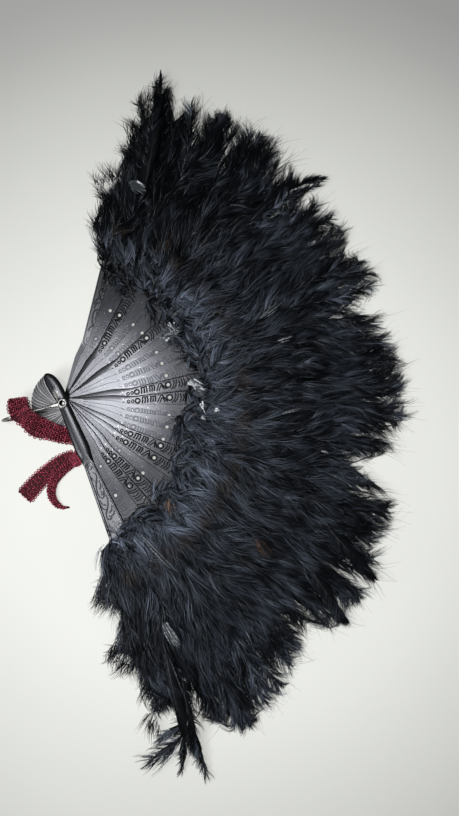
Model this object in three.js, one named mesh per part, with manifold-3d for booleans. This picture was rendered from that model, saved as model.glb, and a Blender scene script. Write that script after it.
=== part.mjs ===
// A folding feather fan, lying open on a table: flat sticks and two guards piled on one rivet,
// a feather plume on the end of each, a wire bail on the rivet and a crocheted ribbon tied to it.
// Millimetres, +Z up. The origin is on the rivet's axis, at the rear face that the fan lies on.
// A bar is a stick or a guard. Bar 0 is the front guard, on top, and the last bar is the rear guard.

import * as THREE from "three";
import { mergeVertices } from "three/addons/utils/BufferGeometryUtils.js";
import Module from "manifold-3d";

const wasm = await Module();
wasm.setup();

const degree = Math.PI / 180;

// How the open fan spreads: angles in degrees, and each later bar's share of the whole spread
const frontGuardAngle = -66.5;
const openSpread = 139.3;
const turnShares = [
  0.059, 0.101, 0.144, 0.194, 0.244, 0.297, 0.347, 0.397, 0.443, 0.491,
  0.542, 0.602, 0.654, 0.703, 0.751, 0.802, 0.851, 0.896, 0.962, 1,
];
const faceDownSticks = [1, 4, 7, 8, 9, 12, 13, 14, 16, 17, 19];

// The pile on the rivet
const slip = 0.1;
const stickThickness = 0.65;
const guardThickness = 2.2;
const shankDiameter = 5;
const shankClearance = 0.15;

// The outline that sticks and guards share, measured from the rivet along the bar's own axis
const headReach = 29;
const headWidth = 10.6;
const neckWidth = 9.4;
const swellReach = 40;
const swellWidth = 12.4;
const waistReach = 57;
const waistWidth = 8.8;
const bladeReach = 128;
const stickTipWidth = 19.2;
const tipBulge = 1.6;
const headAlongShares = [-1, -0.975, -0.88, -0.72, -0.5, -0.25];
const headWideShares = [0, 0.36, 0.74, 0.95, 1, 0.94];

// Pierced ornament in the sticks, set off to one side of the axis
const ringHoleReach = 89;
const ringHoleDiameter = 2.6;
const ringHoleOffset = 2.5;
const dotHoleReach = 61.7;
const dotHoleDiameter = 1.8;
const dotHoleOffset = 0.6;

// The guards
const guardTipWidth = 18.4;
const guardHeadWidth = 11.4;
const guardHeadLean = 7;
const guardEdge = 0.7;
const panelStart = 55;
const panelRim = 1.7;
const panelDepth = 0.7;
const panelEndMargin = 3;

// The rivet, with a flat rear head and an eyelet rolled over at the front
const rivetHeadDiameter = 9;
const rivetHeadThickness = 0.8;
const rivetHeadEdge = 0.3;
const eyeletDiameter = 7.4;
const eyeletThickness = 0.8;
const eyeletBore = 4.2;
const eyeletDepth = 9;
const eyeletRoll = 0.35;

// The bail, a wire loop whose flattened ends sit on the rivet outside the guards
const bailAngle = 195.5;
const bailWire = 2;
const bailReach = 55.5;
const bailEyeThickness = 1.2;
const bailEyeDiameter = 8.6;
const bailEyeClearance = 0.2;
const bailNeckReach = 13;
const bailNeckWidth = 3;

// The plumes. Each one holds the end of its own bar in a slot, and fills the wedge beside its neighbours.
const plumeReach = 300;
const plumeOverlap = 28;
const frontPlumeOverlap = 6;
const rearPlumeOverlap = 16;
const plumeDepth = 27;
const plumeGap = 0.4;
const plumeLip = 2.6;
const plumeSwellLength = 46;
const plumeTipDepth = 4;
const frontSideAngle = 11.5;
const rearSideAngle = 6.2;
const slotClearAngle = 1;
const plumeReachShares = [
  1.11, 1.08, 1.035, 0.985, 0.975, 1.03, 0.99, 0.985, 0.925, 0.965, 0.99,
  0.98, 0.985, 1.015, 0.945, 0.947, 0.95, 1, 0.985, 0.965, 1.005,
];
const plumeStationShares = [0, 0.05, 0.12, 0.24, 0.42, 0.6, 0.76, 0.88, 0.96, 1];
const plumeWideShares = [0.84, 0.95, 1, 1, 1, 1, 0.99, 0.92, 0.72, 0.38];
const plumeSectionWideShares = [-0.6, 0.6, 0.93, 1, 0.9, 0.5, 0, -0.5, -0.9, -1, -0.93];
const plumeSectionHighShares = [0, 0, 0.16, 0.42, 0.72, 0.94, 1, 0.94, 0.72, 0.42, 0.16];

// The ribbon: a loop hitched over the bail, a knot beside the front guard and two loose ends
const tapeThickness = 0.9;
const tapeWidth = 13.4;
const tapeGap = 0.3;
const foldDepth = 6;
const loopPlaceShare = 0.29;
const steepShare = 0.12;
const knotLength = 13.4;
const knotWidth = 12.2;
const knotHeight = 5;

const guardCount = 2;
const barCount = turnShares.length + 1;
const stickCount = barCount - guardCount;
const lastBar = barCount - 1;
const stickPitch = stickThickness + slip;
const rearEyeZ = rivetHeadThickness + slip;
const rearGuardZ = rearEyeZ + bailEyeThickness + slip;
const lowestStickZ = rearGuardZ + guardThickness + slip;
const frontGuardZ = lowestStickZ + stickCount * stickPitch;
const frontEyeZ = frontGuardZ + guardThickness + slip;
const eyeletZ = frontEyeZ + bailEyeThickness + slip;
const rivetTopZ = eyeletZ + eyeletThickness;
const rearWireZ = rearGuardZ - slip - bailWire / 2;
const frontWireZ = frontEyeZ + bailWire / 2;

const isGuard = (bar) => bar === 0 || bar === lastBar;
const barAngle = (bar) => frontGuardAngle + (bar === 0 ? 0 : openSpread * turnShares[bar - 1]);
const barThickness = (bar) => (isGuard(bar) ? guardThickness : stickThickness);

function barBottom(bar) {
  if (bar === 0) return frontGuardZ;
  return bar === lastBar ? rearGuardZ : lowestStickZ + (stickCount - bar) * stickPitch;
}

const barTop = (bar) => barBottom(bar) + barThickness(bar);

// Closed solids and their cuts
function cleaned(geometry) {
  const bare = geometry.index ? geometry.clone() : mergeVertices(geometry);
  bare.deleteAttribute("normal");
  bare.deleteAttribute("uv");
  return mergeVertices(bare);
}

function toSolid(geometry) {
  const bare = cleaned(geometry);
  const vertProperties = new Float32Array(bare.attributes.position.array);
  const triVerts = new Uint32Array(bare.index.array);
  return new wasm.Manifold(new wasm.Mesh({ numProp: 3, vertProperties, triVerts }));
}

function toGeometry(solid) {
  const { vertProperties, triVerts } = solid.getMesh();
  const geometry = new THREE.BufferGeometry();
  geometry.setAttribute("position", new THREE.BufferAttribute(vertProperties, 3));
  geometry.setIndex(new THREE.BufferAttribute(triVerts, 1));
  geometry.computeVertexNormals();
  return geometry;
}

// A closed skin over rings of points, each ring listed the same way round
function skinned(rings) {
  const count = rings[0].length;
  const geometry = new THREE.BufferGeometry();
  const index = [];
  for (let ring = 0; ring + 1 < rings.length; ring++) {
    for (let side = 0; side < count; side++) {
      const a = ring * count + side;
      const b = ring * count + ((side + 1) % count);
      index.push(a, b, b + count, a, b + count, a + count);
    }
  }
  const last = (rings.length - 1) * count;
  for (let side = 1; side + 1 < count; side++) {
    index.push(0, side + 1, side);
    index.push(last, last + side, last + side + 1);
  }
  const places = rings.flat().flatMap((point) => point.toArray());
  geometry.setAttribute("position", new THREE.Float32BufferAttribute(places, 3));
  geometry.setIndex(index);
  geometry.computeVertexNormals();
  return geometry;
}

function circlePoints(x, y, radius, sides) {
  const turns = Array.from({ length: sides }, (_, side) => (side / sides) * 2 * Math.PI);
  return turns.map((turn) => new THREE.Vector2(x + radius * Math.cos(turn), y + radius * Math.sin(turn)));
}

// Bars
function barOutline({ head, tip, lean }) {
  const leanSlope = Math.tan(lean * degree) / headReach;
  const leaned = (x, y) => new THREE.Vector2(x, y - x * x * leanSlope);
  const side = (sign) => [
    ...headAlongShares.map((share, k) => leaned(headReach * share, (sign * headWideShares[k] * head) / 2)),
    new THREE.Vector2(0, (sign * neckWidth) / 2),
    new THREE.Vector2(swellReach / 2, (sign * (neckWidth + swellWidth)) / 4),
    new THREE.Vector2(swellReach, (sign * swellWidth) / 2),
    new THREE.Vector2((swellReach + waistReach) / 2, (sign * (swellWidth + waistWidth)) / 4),
    new THREE.Vector2(waistReach, (sign * waistWidth) / 2),
  ];
  const right = side(-1);
  const left = side(1).reverse();
  const shape = new THREE.Shape();
  shape.moveTo(right[0].x, right[0].y);
  shape.splineThru(right.slice(1));
  shape.lineTo(bladeReach - tipBulge, -tip / 2);
  shape.quadraticCurveTo(bladeReach + tipBulge, 0, bladeReach - tipBulge, tip / 2);
  shape.lineTo(left[0].x, left[0].y);
  shape.splineThru(left.slice(1));
  return shape;
}

function plate(shape, depth) {
  return new THREE.ExtrudeGeometry(shape, { depth, bevelEnabled: false, curveSegments: 6 });
}

const shankHole = (sides) => circlePoints(0, 0, shankDiameter / 2 + shankClearance, sides);

function stickGeometry() {
  const shape = barOutline({ head: headWidth, tip: stickTipWidth, lean: 0 });
  const holes = [
    shankHole(14),
    circlePoints(ringHoleReach, ringHoleOffset, ringHoleDiameter / 2, 8),
    circlePoints(dotHoleReach, dotHoleOffset, dotHoleDiameter / 2, 6),
  ];
  shape.holes = holes.map((points) => new THREE.Path(points));
  return new THREE.ExtrudeGeometry(shape, { depth: stickThickness, bevelEnabled: false, curveSegments: 2 });
}

// The sunk panel on a guard's outer face: round at the rivet's end, with a rim along both edges
function panelGeometry() {
  const slope = (guardTipWidth - waistWidth) / 2 / (bladeReach - waistReach);
  const half = (x) => waistWidth / 2 + (x - waistReach) * slope - panelRim;
  const end = bladeReach - tipBulge - panelEndMargin;
  const shape = new THREE.Shape();
  shape.moveTo(panelStart + half(panelStart), -half(panelStart));
  shape.lineTo(end, -half(end));
  shape.lineTo(end, half(end));
  shape.lineTo(panelStart + half(panelStart), half(panelStart));
  shape.absarc(panelStart + half(panelStart), 0, half(panelStart), Math.PI / 2, (3 * Math.PI) / 2, false);
  return plate(shape, 2 * panelDepth);
}

function guardGeometry() {
  const shape = barOutline({ head: guardHeadWidth, tip: guardTipWidth, lean: guardHeadLean });
  const body = new THREE.ExtrudeGeometry(shape, {
    depth: guardThickness - 2 * guardEdge,
    bevelThickness: guardEdge,
    bevelSize: guardEdge,
    bevelOffset: -guardEdge,
    bevelSegments: 2,
    curveSegments: 2,
  });
  body.translate(0, 0, guardEdge);
  const hole = plate(new THREE.Shape(shankHole(20)), 3 * guardThickness);
  hole.translate(0, 0, -guardThickness);
  const panel = panelGeometry();
  panel.translate(0, 0, guardThickness - panelDepth);
  return toGeometry(toSolid(body).subtract(toSolid(hole)).subtract(toSolid(panel)));
}

// A bar that lies face down is turned over about its own axis
function turnedOver(geometry, thickness) {
  const flipped = geometry.clone();
  flipped.rotateX(Math.PI);
  flipped.translate(0, 0, thickness);
  return flipped;
}

// Rivet
function rivetGeometry() {
  const shank = shankDiameter / 2;
  const profile = [
    [0, 0],
    [rivetHeadDiameter / 2 - rivetHeadEdge, 0],
    [rivetHeadDiameter / 2, rivetHeadEdge],
    [rivetHeadDiameter / 2, rivetHeadThickness - rivetHeadEdge / 2],
    [rivetHeadDiameter / 2 - rivetHeadEdge, rivetHeadThickness],
    [shank, rivetHeadThickness],
    [shank, eyeletZ],
    [eyeletDiameter / 2, eyeletZ],
    [eyeletDiameter / 2, eyeletZ + eyeletThickness / 2],
    [eyeletDiameter / 2 - eyeletRoll, rivetTopZ],
    [eyeletBore / 2 + eyeletRoll, rivetTopZ],
    [eyeletBore / 2, rivetTopZ - eyeletRoll],
    [eyeletBore / 2, rivetTopZ - eyeletDepth],
    [0, rivetTopZ - eyeletDepth],
  ];
  const geometry = new THREE.LatheGeometry(profile.map(([r, z]) => new THREE.Vector2(r, z)), 24);
  geometry.rotateX(Math.PI / 2);
  return geometry;
}

// Bail
function bailEye(bottom) {
  const shape = new THREE.Shape();
  const half = bailNeckWidth / 2;
  const disc = bailEyeDiameter / 2;
  const meet = Math.asin(half / disc);
  shape.moveTo(bailNeckReach, -half);
  shape.lineTo(bailNeckReach, half);
  shape.absarc(0, 0, disc, meet, 2 * Math.PI - meet, false);
  shape.holes = [new THREE.Path(circlePoints(0, 0, shankDiameter / 2 + bailEyeClearance, 16))];
  const eye = plate(shape, bailEyeThickness);
  eye.translate(0, 0, bottom);
  return eye;
}

function bailGeometry() {
  const bend = (frontWireZ - rearWireZ) / 2;
  const bendStart = bailReach - bailWire / 2 - bend;
  const middle = (frontWireZ + rearWireZ) / 2;
  const wireStart = bailNeckReach - bailWire;
  const along = (x, z) => new THREE.Vector3(x, 0, z);
  const straight = (from, to, z) => new THREE.LineCurve3(along(from, z), along(to, z));
  const line = new THREE.CurvePath();
  line.add(straight(wireStart, bendStart, frontWireZ));
  const turns = Array.from({ length: 17 }, (_, k) => Math.PI / 2 - (k / 16) * Math.PI);
  const arc = turns.map((turn) => along(bendStart + bend * Math.cos(turn), middle + bend * Math.sin(turn)));
  line.add(new THREE.CatmullRomCurve3(arc));
  line.add(straight(bendStart, wireStart, rearWireZ));
  const section = new THREE.Shape(circlePoints(0, 0, bailWire / 2, 8));
  const wire = new THREE.ExtrudeGeometry(section, { extrudePath: line, steps: 30, bevelEnabled: false });
  return toGeometry(toSolid(wire).add(toSolid(bailEye(frontEyeZ))).add(toSolid(bailEye(rearEyeZ))));
}

// Plumes
function plumeRootOf(bar) {
  if (bar === 0) return bladeReach - frontPlumeOverlap;
  return bladeReach - (bar === lastBar ? rearPlumeOverlap : plumeOverlap);
}

const smooth = (share) => share * share * (3 - 2 * share);
const blend = (from, to, share) => from + (to - from) * share;
const clampShare = (share) => Math.min(1, Math.max(0, share));

function plumeGeometry(bar) {
  const leftAngle = bar === lastBar ? rearSideAngle : (barAngle(bar + 1) - barAngle(bar)) / 2;
  const rightAngle = bar === 0 ? frontSideAngle : (barAngle(bar) - barAngle(bar - 1)) / 2;
  const above = Math.max(0, bar - 1);
  const below = Math.min(lastBar, bar + 1);
  const slotBottom = barBottom(below) - plumeGap;
  const slotTop = barTop(above) + plumeGap;
  const root = plumeRootOf(bar);
  const reach = plumeReach * plumeReachShares[bar];
  const rings = plumeStationShares.map((share, k) => {
    const x = blend(root, reach, share);
    const swell = smooth(clampShare((x - root) / plumeSwellLength));
    const droop = share * share;
    const bottom = blend(Math.max(0, slotBottom - plumeLip), 0, swell);
    const full = blend(plumeDepth, plumeTipDepth, droop);
    const top = blend(slotTop + plumeLip, Math.max(full, plumeTipDepth), swell);
    const left = x * Math.tan(leftAngle * degree) - plumeGap / 2;
    const right = x * Math.tan(rightAngle * degree) - plumeGap / 2;
    const middle = (left - right) / 2;
    const half = ((left + right) / 2) * plumeWideShares[k];
    const heightAt = (point) => blend(bottom, top, plumeSectionHighShares[point]);
    const corner = (wide, point) => new THREE.Vector3(x, middle + half * wide, heightAt(point));
    return plumeSectionWideShares.map(corner);
  });
  const bladeSide = Math.atan(guardTipWidth / 2 / bladeReach) / degree + slotClearAngle;
  const slotLeft = bar === lastBar ? bladeSide : 2 * leftAngle;
  const slotRight = bar === 0 ? bladeSide : 2 * rightAngle;
  const slotReach = bladeReach + plumeGap;
  const corners = [
    new THREE.Vector2(0, 0),
    new THREE.Vector2(slotReach, -slotReach * Math.tan(slotRight * degree)),
    new THREE.Vector2(slotReach, slotReach * Math.tan(slotLeft * degree)),
  ];
  const slot = plate(new THREE.Shape(corners), slotTop - slotBottom);
  slot.translate(0, 0, slotBottom);
  return toGeometry(toSolid(skinned(rings)).subtract(toSolid(slot)));
}

// Ribbon
// A flat tape along stations of [x, y, z, width]. Its width stays level, square to the way it runs in plan.
function tapeGeometry(stations) {
  const points = stations.map(([x, y, z]) => new THREE.Vector3(x, y, z));
  const across = new THREE.Vector3(0, 1, 0);
  const rings = points.map((point, k) => {
    const before = points[Math.max(0, k - 1)];
    const after = points[Math.min(points.length - 1, k + 1)];
    const along = after.clone().sub(before);
    const level = new THREE.Vector3(-along.y, along.x, 0);
    if (level.length() > tapeWidth * steepShare) {
      level.normalize();
      across.copy(level.dot(across) < 0 && k > 0 ? level.negate() : level);
    }
    const up = new THREE.Vector3().crossVectors(along.normalize(), across).normalize();
    const half = stations[k][3] / 2;
    const edge = tapeThickness / 2;
    const corner = (side, lift) =>
      point
        .clone()
        .addScaledVector(across, side * half)
        .addScaledVector(up, lift * edge);
    return [corner(-1, -1), corner(1, -1), corner(1, 1), corner(-1, 1)];
  });
  return skinned(rings);
}

// Where the tape runs. Each row of shares is [direction in degrees, share of the reach, share of the width],
// and each list of heights goes with the rows above it.
const lowLayer = tapeThickness / 2;
const highLayer = lowLayer + tapeThickness + tapeGap;
const middleZ = (frontWireZ + rearWireZ) / 2;
const onLeg = frontWireZ + bailWire / 2 + tapeGap + tapeThickness / 2;
const onBar = (bar) => barTop(bar) + tapeGap + 2 * tapeThickness;
const clearOfHeads = headReach + tapeGap + tapeWidth / 2;
const legMiddle = blend(headReach, bailReach, loopPlaceShare);

const overHeadsShares = [
  [277, 1.41, 0.5],
  [276.2, 1.25, 0.5],
  [273.2, 1.1, 0.56],
  [266.5, 0.96, 0.74],
  [257.5, 0.9, 0.88],
  [247.5, 0.89, 0.94],
  [237.5, 0.9, 1],
  [226.5, 0.95, 1],
  [216.5, 1, 1],
  [207.5, 1.05, 1.04],
];
const overHeadsHeights = [
  highLayer,
  highLayer,
  highLayer,
  onBar(lastBar) - tapeThickness,
  onBar(lastBar - 2),
  onBar(lastBar - 4),
  onBar(lastBar - 5),
  onBar(lastBar - 8),
  onBar(lastBar - 14),
  onLeg - tapeGap / 2,
];
const roundLegShares = [
  [200.5, 0.895, 1.1],
  [193.5, 1, 1.16],
  [185, 1.02, 1.2],
  [178, 1.05, 1.22],
  [173.5, 1.07, 1.22],
  [176.5, 1.05, 1.22],
  [184, 1.02, 1.16],
  [193.5, 1, 1.1],
];
const roundLegHeights = [
  onLeg,
  onLeg,
  onLeg - tapeThickness,
  frontWireZ - tapeThickness,
  frontWireZ - foldDepth / 2,
  frontWireZ - foldDepth,
  middleZ + foldDepth / 2,
  middleZ,
];
const besideHeadsShares = [
  [204, 1, 1],
  [213, 1, 1],
  [222, 0.94, 1],
];
const besideHeadsHeights = [
  lowestStickZ + guardThickness,
  rearGuardZ + tapeThickness,
  lowLayer + tapeThickness / 2,
];
const underHeadsShares = [
  [233, 1, 1],
  [246, 0.95, 0.9],
  [259, 0.97, 0.76],
  [269, 1.06, 0.56],
  [274.5, 1.22, 0.5],
  [277, 1.41, 0.5],
];
const knotPlaceShares = [279, 1.655];
const wideTailShares = [
  [270.6, 1.62, 0.62],
  [263.2, 1.73, 0.72],
  [255.6, 2, 0.92],
  [249.5, 2.42, 1.04],
  [245.2, 3.03, 1.14],
];
const twistedTailShares = [
  [273.4, 1.905, 0.34],
  [266.8, 2.05, 0.4],
  [261.6, 2.29, 0.46],
  [260.4, 2.5, 0.52],
  [261.6, 2.76, 0.48],
  [264.8, 2.97, 0.4],
  [268, 3.05, 0.26],
  [270.8, 3.06, 0.1],
];

const planPoint = (turn, out) => [out * Math.cos(turn * degree), out * Math.sin(turn * degree)];

function stationsAlong(rows, reach, heights) {
  return rows.map(([turn, out, wide], k) => [...planPoint(turn, reach * out), heights[k], tapeWidth * wide]);
}

const onTable = (rows) => stationsAlong(rows, headReach, rows.map(() => lowLayer));

function loopGeometry() {
  return tapeGeometry([
    ...stationsAlong(overHeadsShares, headReach, overHeadsHeights),
    ...stationsAlong(roundLegShares, legMiddle, roundLegHeights),
    ...stationsAlong(besideHeadsShares, clearOfHeads, besideHeadsHeights),
    ...onTable(underHeadsShares),
  ]);
}

function knotGeometry() {
  const knot = new THREE.SphereGeometry(1, 14, 10);
  knot.scale(knotLength / 2, knotWidth / 2, knotHeight / 2);
  knot.rotateZ(frontGuardAngle * degree);
  const [turn, outShare] = knotPlaceShares;
  const [x, y] = planPoint(turn, headReach * outShare);
  knot.translate(x, y, knotHeight / 2);
  return cleaned(knot);
}

// The fan
const silver = { color: 0x6f7276, roughness: 0.42, metalness: 0.55 };
const finishes = {
  stick: silver,
  guard: { color: 0x4b4e53, roughness: 0.3, metalness: 0.6 },
  steel: { color: 0xb9bbbd, roughness: 0.3, metalness: 0.9 },
  plume: { color: 0x0b0b0d, roughness: 0.95, metalness: 0 },
  ribbon: { color: 0x5a0f1e, roughness: 0.6, metalness: 0.2 },
};
const fan = new THREE.Group();

function addPiece(name, geometry, finish, turn = 0, height = 0) {
  const mesh = new THREE.Mesh(geometry, new THREE.MeshStandardMaterial(finishes[finish]));
  mesh.name = name;
  mesh.rotation.z = turn * degree;
  mesh.position.z = height;
  fan.add(mesh);
}

const numbered = (bar) => String(bar).padStart(2, "0");
const guard = guardGeometry();
const stick = stickGeometry();
const stickFaceDown = turnedOver(stick, stickThickness);

addPiece("front_guard", guard, "guard", barAngle(0), barBottom(0));
for (let bar = 1; bar < lastBar; bar++) {
  const geometry = faceDownSticks.includes(bar) ? stickFaceDown : stick;
  addPiece(`stick_${numbered(bar)}`, geometry, "stick", barAngle(bar), barBottom(bar));
}
addPiece("rear_guard", turnedOver(guard, guardThickness), "guard", barAngle(lastBar), barBottom(lastBar));
addPiece("rivet", rivetGeometry(), "steel");
addPiece("bail", bailGeometry(), "steel", bailAngle);
addPiece("plume_front", plumeGeometry(0), "plume", barAngle(0));
for (let bar = 1; bar < lastBar; bar++) {
  addPiece(`plume_${numbered(bar)}`, plumeGeometry(bar), "plume", barAngle(bar));
}
addPiece("plume_rear", plumeGeometry(lastBar), "plume", barAngle(lastBar));
addPiece("ribbon_loop", loopGeometry(), "ribbon");
addPiece("ribbon_knot", knotGeometry(), "ribbon");
addPiece("ribbon_tail_wide", tapeGeometry(onTable(wideTailShares)), "ribbon");
addPiece("ribbon_tail_twisted", tapeGeometry(onTable(twistedTailShares)), "ribbon");

export default fan;
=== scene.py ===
"""A folding feather fan lying open on a pale table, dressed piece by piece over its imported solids."""

import logging
import math
from collections.abc import Callable, Sequence
from dataclasses import dataclass, field
from enum import Enum

import bpy
import numpy as np
from mathutils import Matrix, Vector
from mathutils.geometry import delaunay_2d_cdt


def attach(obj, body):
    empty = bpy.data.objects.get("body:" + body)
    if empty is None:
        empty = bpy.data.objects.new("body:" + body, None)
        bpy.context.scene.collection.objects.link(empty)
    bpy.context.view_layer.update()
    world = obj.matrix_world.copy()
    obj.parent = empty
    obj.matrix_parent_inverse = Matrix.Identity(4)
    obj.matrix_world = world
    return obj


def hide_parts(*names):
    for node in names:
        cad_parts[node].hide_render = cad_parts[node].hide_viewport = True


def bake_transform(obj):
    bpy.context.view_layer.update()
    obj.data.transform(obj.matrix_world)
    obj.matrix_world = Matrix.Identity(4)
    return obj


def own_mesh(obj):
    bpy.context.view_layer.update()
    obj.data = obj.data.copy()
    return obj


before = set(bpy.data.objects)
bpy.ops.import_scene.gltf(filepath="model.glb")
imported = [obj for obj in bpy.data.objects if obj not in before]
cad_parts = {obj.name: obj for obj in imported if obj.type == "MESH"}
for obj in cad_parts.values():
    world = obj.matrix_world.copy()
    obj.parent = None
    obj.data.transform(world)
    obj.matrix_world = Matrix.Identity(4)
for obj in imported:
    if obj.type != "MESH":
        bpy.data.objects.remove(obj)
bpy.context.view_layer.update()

LOG = logging.getLogger("fan")

Array = np.ndarray
Pair = tuple[float, float]
Triple = tuple[float, float, float]
Piece = bpy.types.Object
Material = bpy.types.Material
Socket = bpy.types.NodeSocket

MM = 0.001
BAR_COUNT = 21
LAST_BAR = BAR_COUNT - 1
SPREAD = 139.3
FRONT_ANGLE = -66.5
TURN_SHARES = (
    0, 0.059, 0.101, 0.144, 0.194, 0.244, 0.297, 0.347, 0.397, 0.443, 0.491,
    0.542, 0.602, 0.654, 0.703, 0.751, 0.802, 0.851, 0.896, 0.962, 1,
)
FACE_DOWN = (1, 4, 7, 8, 9, 12, 13, 14, 16, 17, 19)
NARROWEST_BARB = 0.08


class Side(Enum):
    """The two sides of a feather's quill, as the sign of their turn."""

    LEFT = 1
    RIGHT = -1


# Helpers for shapes


def smooth_step(value: Array) -> Array:
    """Ease a share from 0 to 1.

    Args:
        value: Shares, clipped to between 0 and 1.

    Returns:
        The eased shares.
    """
    share = np.clip(value, 0, 1)
    return share * share * (3 - 2 * share)


def catmull_rom(points: Array, per_span: int) -> Array:
    """Run a smooth curve through points.

    Args:
        points: Rows of any width, in order.
        per_span: Steps between two rows.

    Returns:
        The rows of the finer curve.
    """
    padded = np.vstack([2 * points[0] - points[1], points, 2 * points[-1] - points[-2]])
    steps = np.linspace(0, 1, per_span, endpoint=False)[:, None]
    runs = []
    for k in range(len(points) - 1):
        a, b, c, d = padded[k : k + 4]
        square = (2 * a - 5 * b + 4 * c - d) * steps**2
        cube = (3 * b - a - 3 * c + d) * steps**3
        runs.append(0.5 * (2 * b + (c - a) * steps + square + cube))
    return np.vstack([*runs, points[-1:]])


def inside(points: Array, loop: Array) -> Array:
    """Say which points lie inside a closed loop.

    Args:
        points: Rows of x and y.
        loop: The loop's corners in order.

    Returns:
        One truth value a point.
    """
    x, y = points[:, :1], points[:, 1:2]
    ax, ay = loop[:, 0], loop[:, 1]
    bx, by = np.roll(ax, -1), np.roll(ay, -1)
    rise = np.where(by == ay, 1e-9, by - ay)
    crossing = ((ay > y) != (by > y)) & (x < (bx - ax) * (y - ay) / rise + ax)
    return crossing.sum(axis=1) % 2 == 1


def distance_to(points: Array, line: Array, closed: bool = False) -> Array:
    """Measure each point's distance to a line of straight runs.

    Args:
        points: Rows of x and y.
        line: The line's corners in order.
        closed: Whether the last corner joins the first.

    Returns:
        One distance a point.
    """
    ends = np.roll(line, -1, axis=0) if closed else line[1:]
    starts = line if closed else line[:-1]
    nearest = np.full(len(points), np.inf)
    for start, end in zip(starts, ends):
        run = end - start
        share = np.clip((points - start) @ run / max(run @ run, 1e-12), 0, 1)
        nearest = np.minimum(nearest, np.hypot(*(points - start - share[:, None] * run).T))
    return nearest


def grid_of(across: Array, up: Array) -> Array:
    """Return the crossings of two rows of places as rows of x and y."""
    return np.stack(np.meshgrid(across, up), -1).reshape(-1, 2)


def circle(x: float, y: float, radius: float, sides: int = 28, high: float | None = None) -> Array:
    """List the corners of a round or oval loop.

    Args:
        x: The middle's place along the bar.
        y: The middle's place across the bar.
        radius: Half the size along the bar.
        sides: How many corners.
        high: Half the size across the bar, where it is an oval.

    Returns:
        Rows of x and y.
    """
    turn = np.linspace(0, 2 * np.pi, sides, endpoint=False)
    return np.stack([x + radius * np.cos(turn), y + (high or radius) * np.sin(turn)], axis=1)


def stroke(line: Sequence[Pair], width: float) -> Array:
    """Outline a line of one width with square ends.

    Args:
        line: The line's corners in order.
        width: Its width.

    Returns:
        The corners of the closed outline.
    """
    path = np.array(line, float)
    ways = np.gradient(path, axis=0)
    ways /= np.hypot(*ways.T)[:, None]
    across = np.stack([-ways[:, 1], ways[:, 0]], axis=1) * width / 2
    return np.vstack([path + across, (path - across)[::-1]])


def looked_up(value: Array | float, table: Sequence[Pair]) -> Array:
    """Return what a table of places and values says at other places."""
    return np.interp(value, *np.array(table).T)


def polar(points: Array) -> tuple[Array, Array]:
    """Return places in the plan as distances from the rivet and directions in degrees."""
    x, y = points[..., 0], points[..., 1]
    return np.hypot(x, y), np.degrees(np.arctan2(y, x))


def unit(rows: Array) -> Array:
    """Return rows of x, y and z brought to length 1."""
    return rows / np.linalg.norm(rows, axis=-1, keepdims=True)


def unit_ways(turn: Array) -> Array:
    """Return directions in the plan, given in radians, as rows of x and y."""
    return np.stack([np.cos(turn), np.sin(turn)], 1)


def ring_quads(sides: int, rings: int) -> Array:
    """Face the bands between rings of corners that follow each other.

    Args:
        sides: Corners in each ring.
        rings: How many rings.

    Returns:
        Rows of four corner numbers.
    """
    first = np.arange(sides)
    after = np.roll(first, -1)
    band = np.stack([first, after, after + sides, first + sides], 1)
    return np.vstack([band + k * sides for k in range(rings - 1)])


def turning(degrees: float) -> Array:
    """Return the matrix that turns rows of x, y and z about the rivet's axis."""
    turn = math.radians(degrees)
    return np.array([[math.cos(turn), math.sin(turn), 0], [-math.sin(turn), math.cos(turn), 0], [0, 0, 1]])


def linked(name: str, data: bpy.types.ID) -> Piece:
    """Make an object and link it to the scene.

    Args:
        name: Its name.
        data: Its mesh, camera or light.

    Returns:
        The object.
    """
    made = bpy.data.objects.new(name, data)
    bpy.context.scene.collection.objects.link(made)
    return made


def new_object(
    name: str,
    points: Array,
    faces: Sequence[Array],
    finishes: Sequence[Material],
    finish_of_face: Array | None = None,
    sharp_angle: float | None = 40,
) -> Piece:
    """Make a mesh object from points in millimetres.

    Args:
        name: The piece's name.
        points: Rows of x, y and z.
        faces: Arrays of corner numbers, each with one corner count.
        finishes: The piece's materials.
        finish_of_face: Each face's place in finishes.
        sharp_angle: Edges that turn more than this, in degrees, stay crisp. None leaves all faces smooth.

    Returns:
        The new object, linked to the scene.
    """
    mesh = bpy.data.meshes.new(name)
    corners = np.concatenate([group.ravel() for group in faces]).astype(np.int32)
    sizes = np.concatenate([np.full(len(group), group.shape[1]) for group in faces])
    mesh.vertices.add(len(points))
    mesh.vertices.foreach_set("co", (np.asarray(points, float) * MM).astype(np.float32).ravel())
    mesh.loops.add(len(corners))
    mesh.loops.foreach_set("vertex_index", corners)
    mesh.polygons.add(len(sizes))
    mesh.polygons.foreach_set("loop_start", np.concatenate([[0], np.cumsum(sizes)[:-1]]).astype(np.int32))
    for finish in finishes:
        mesh.materials.append(finish)
    if finish_of_face is not None:
        mesh.polygons.foreach_set("material_index", finish_of_face.astype(np.int32))
    mesh.update(calc_edges=True)
    mesh.shade_smooth()
    if sharp_angle is not None:
        mesh.set_sharp_from_angle(angle=math.radians(sharp_angle))
    return linked(name, mesh)


def seated(piece: Piece, body: str, slot: str, *nodes: str) -> Piece:
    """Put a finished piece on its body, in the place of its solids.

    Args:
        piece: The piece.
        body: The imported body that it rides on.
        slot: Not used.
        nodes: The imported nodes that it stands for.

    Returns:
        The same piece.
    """
    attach(piece, body)
    if nodes:
        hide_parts(*nodes)
    LOG.info("%s: %d faces", piece.name, len(piece.data.polygons))
    return piece


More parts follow.
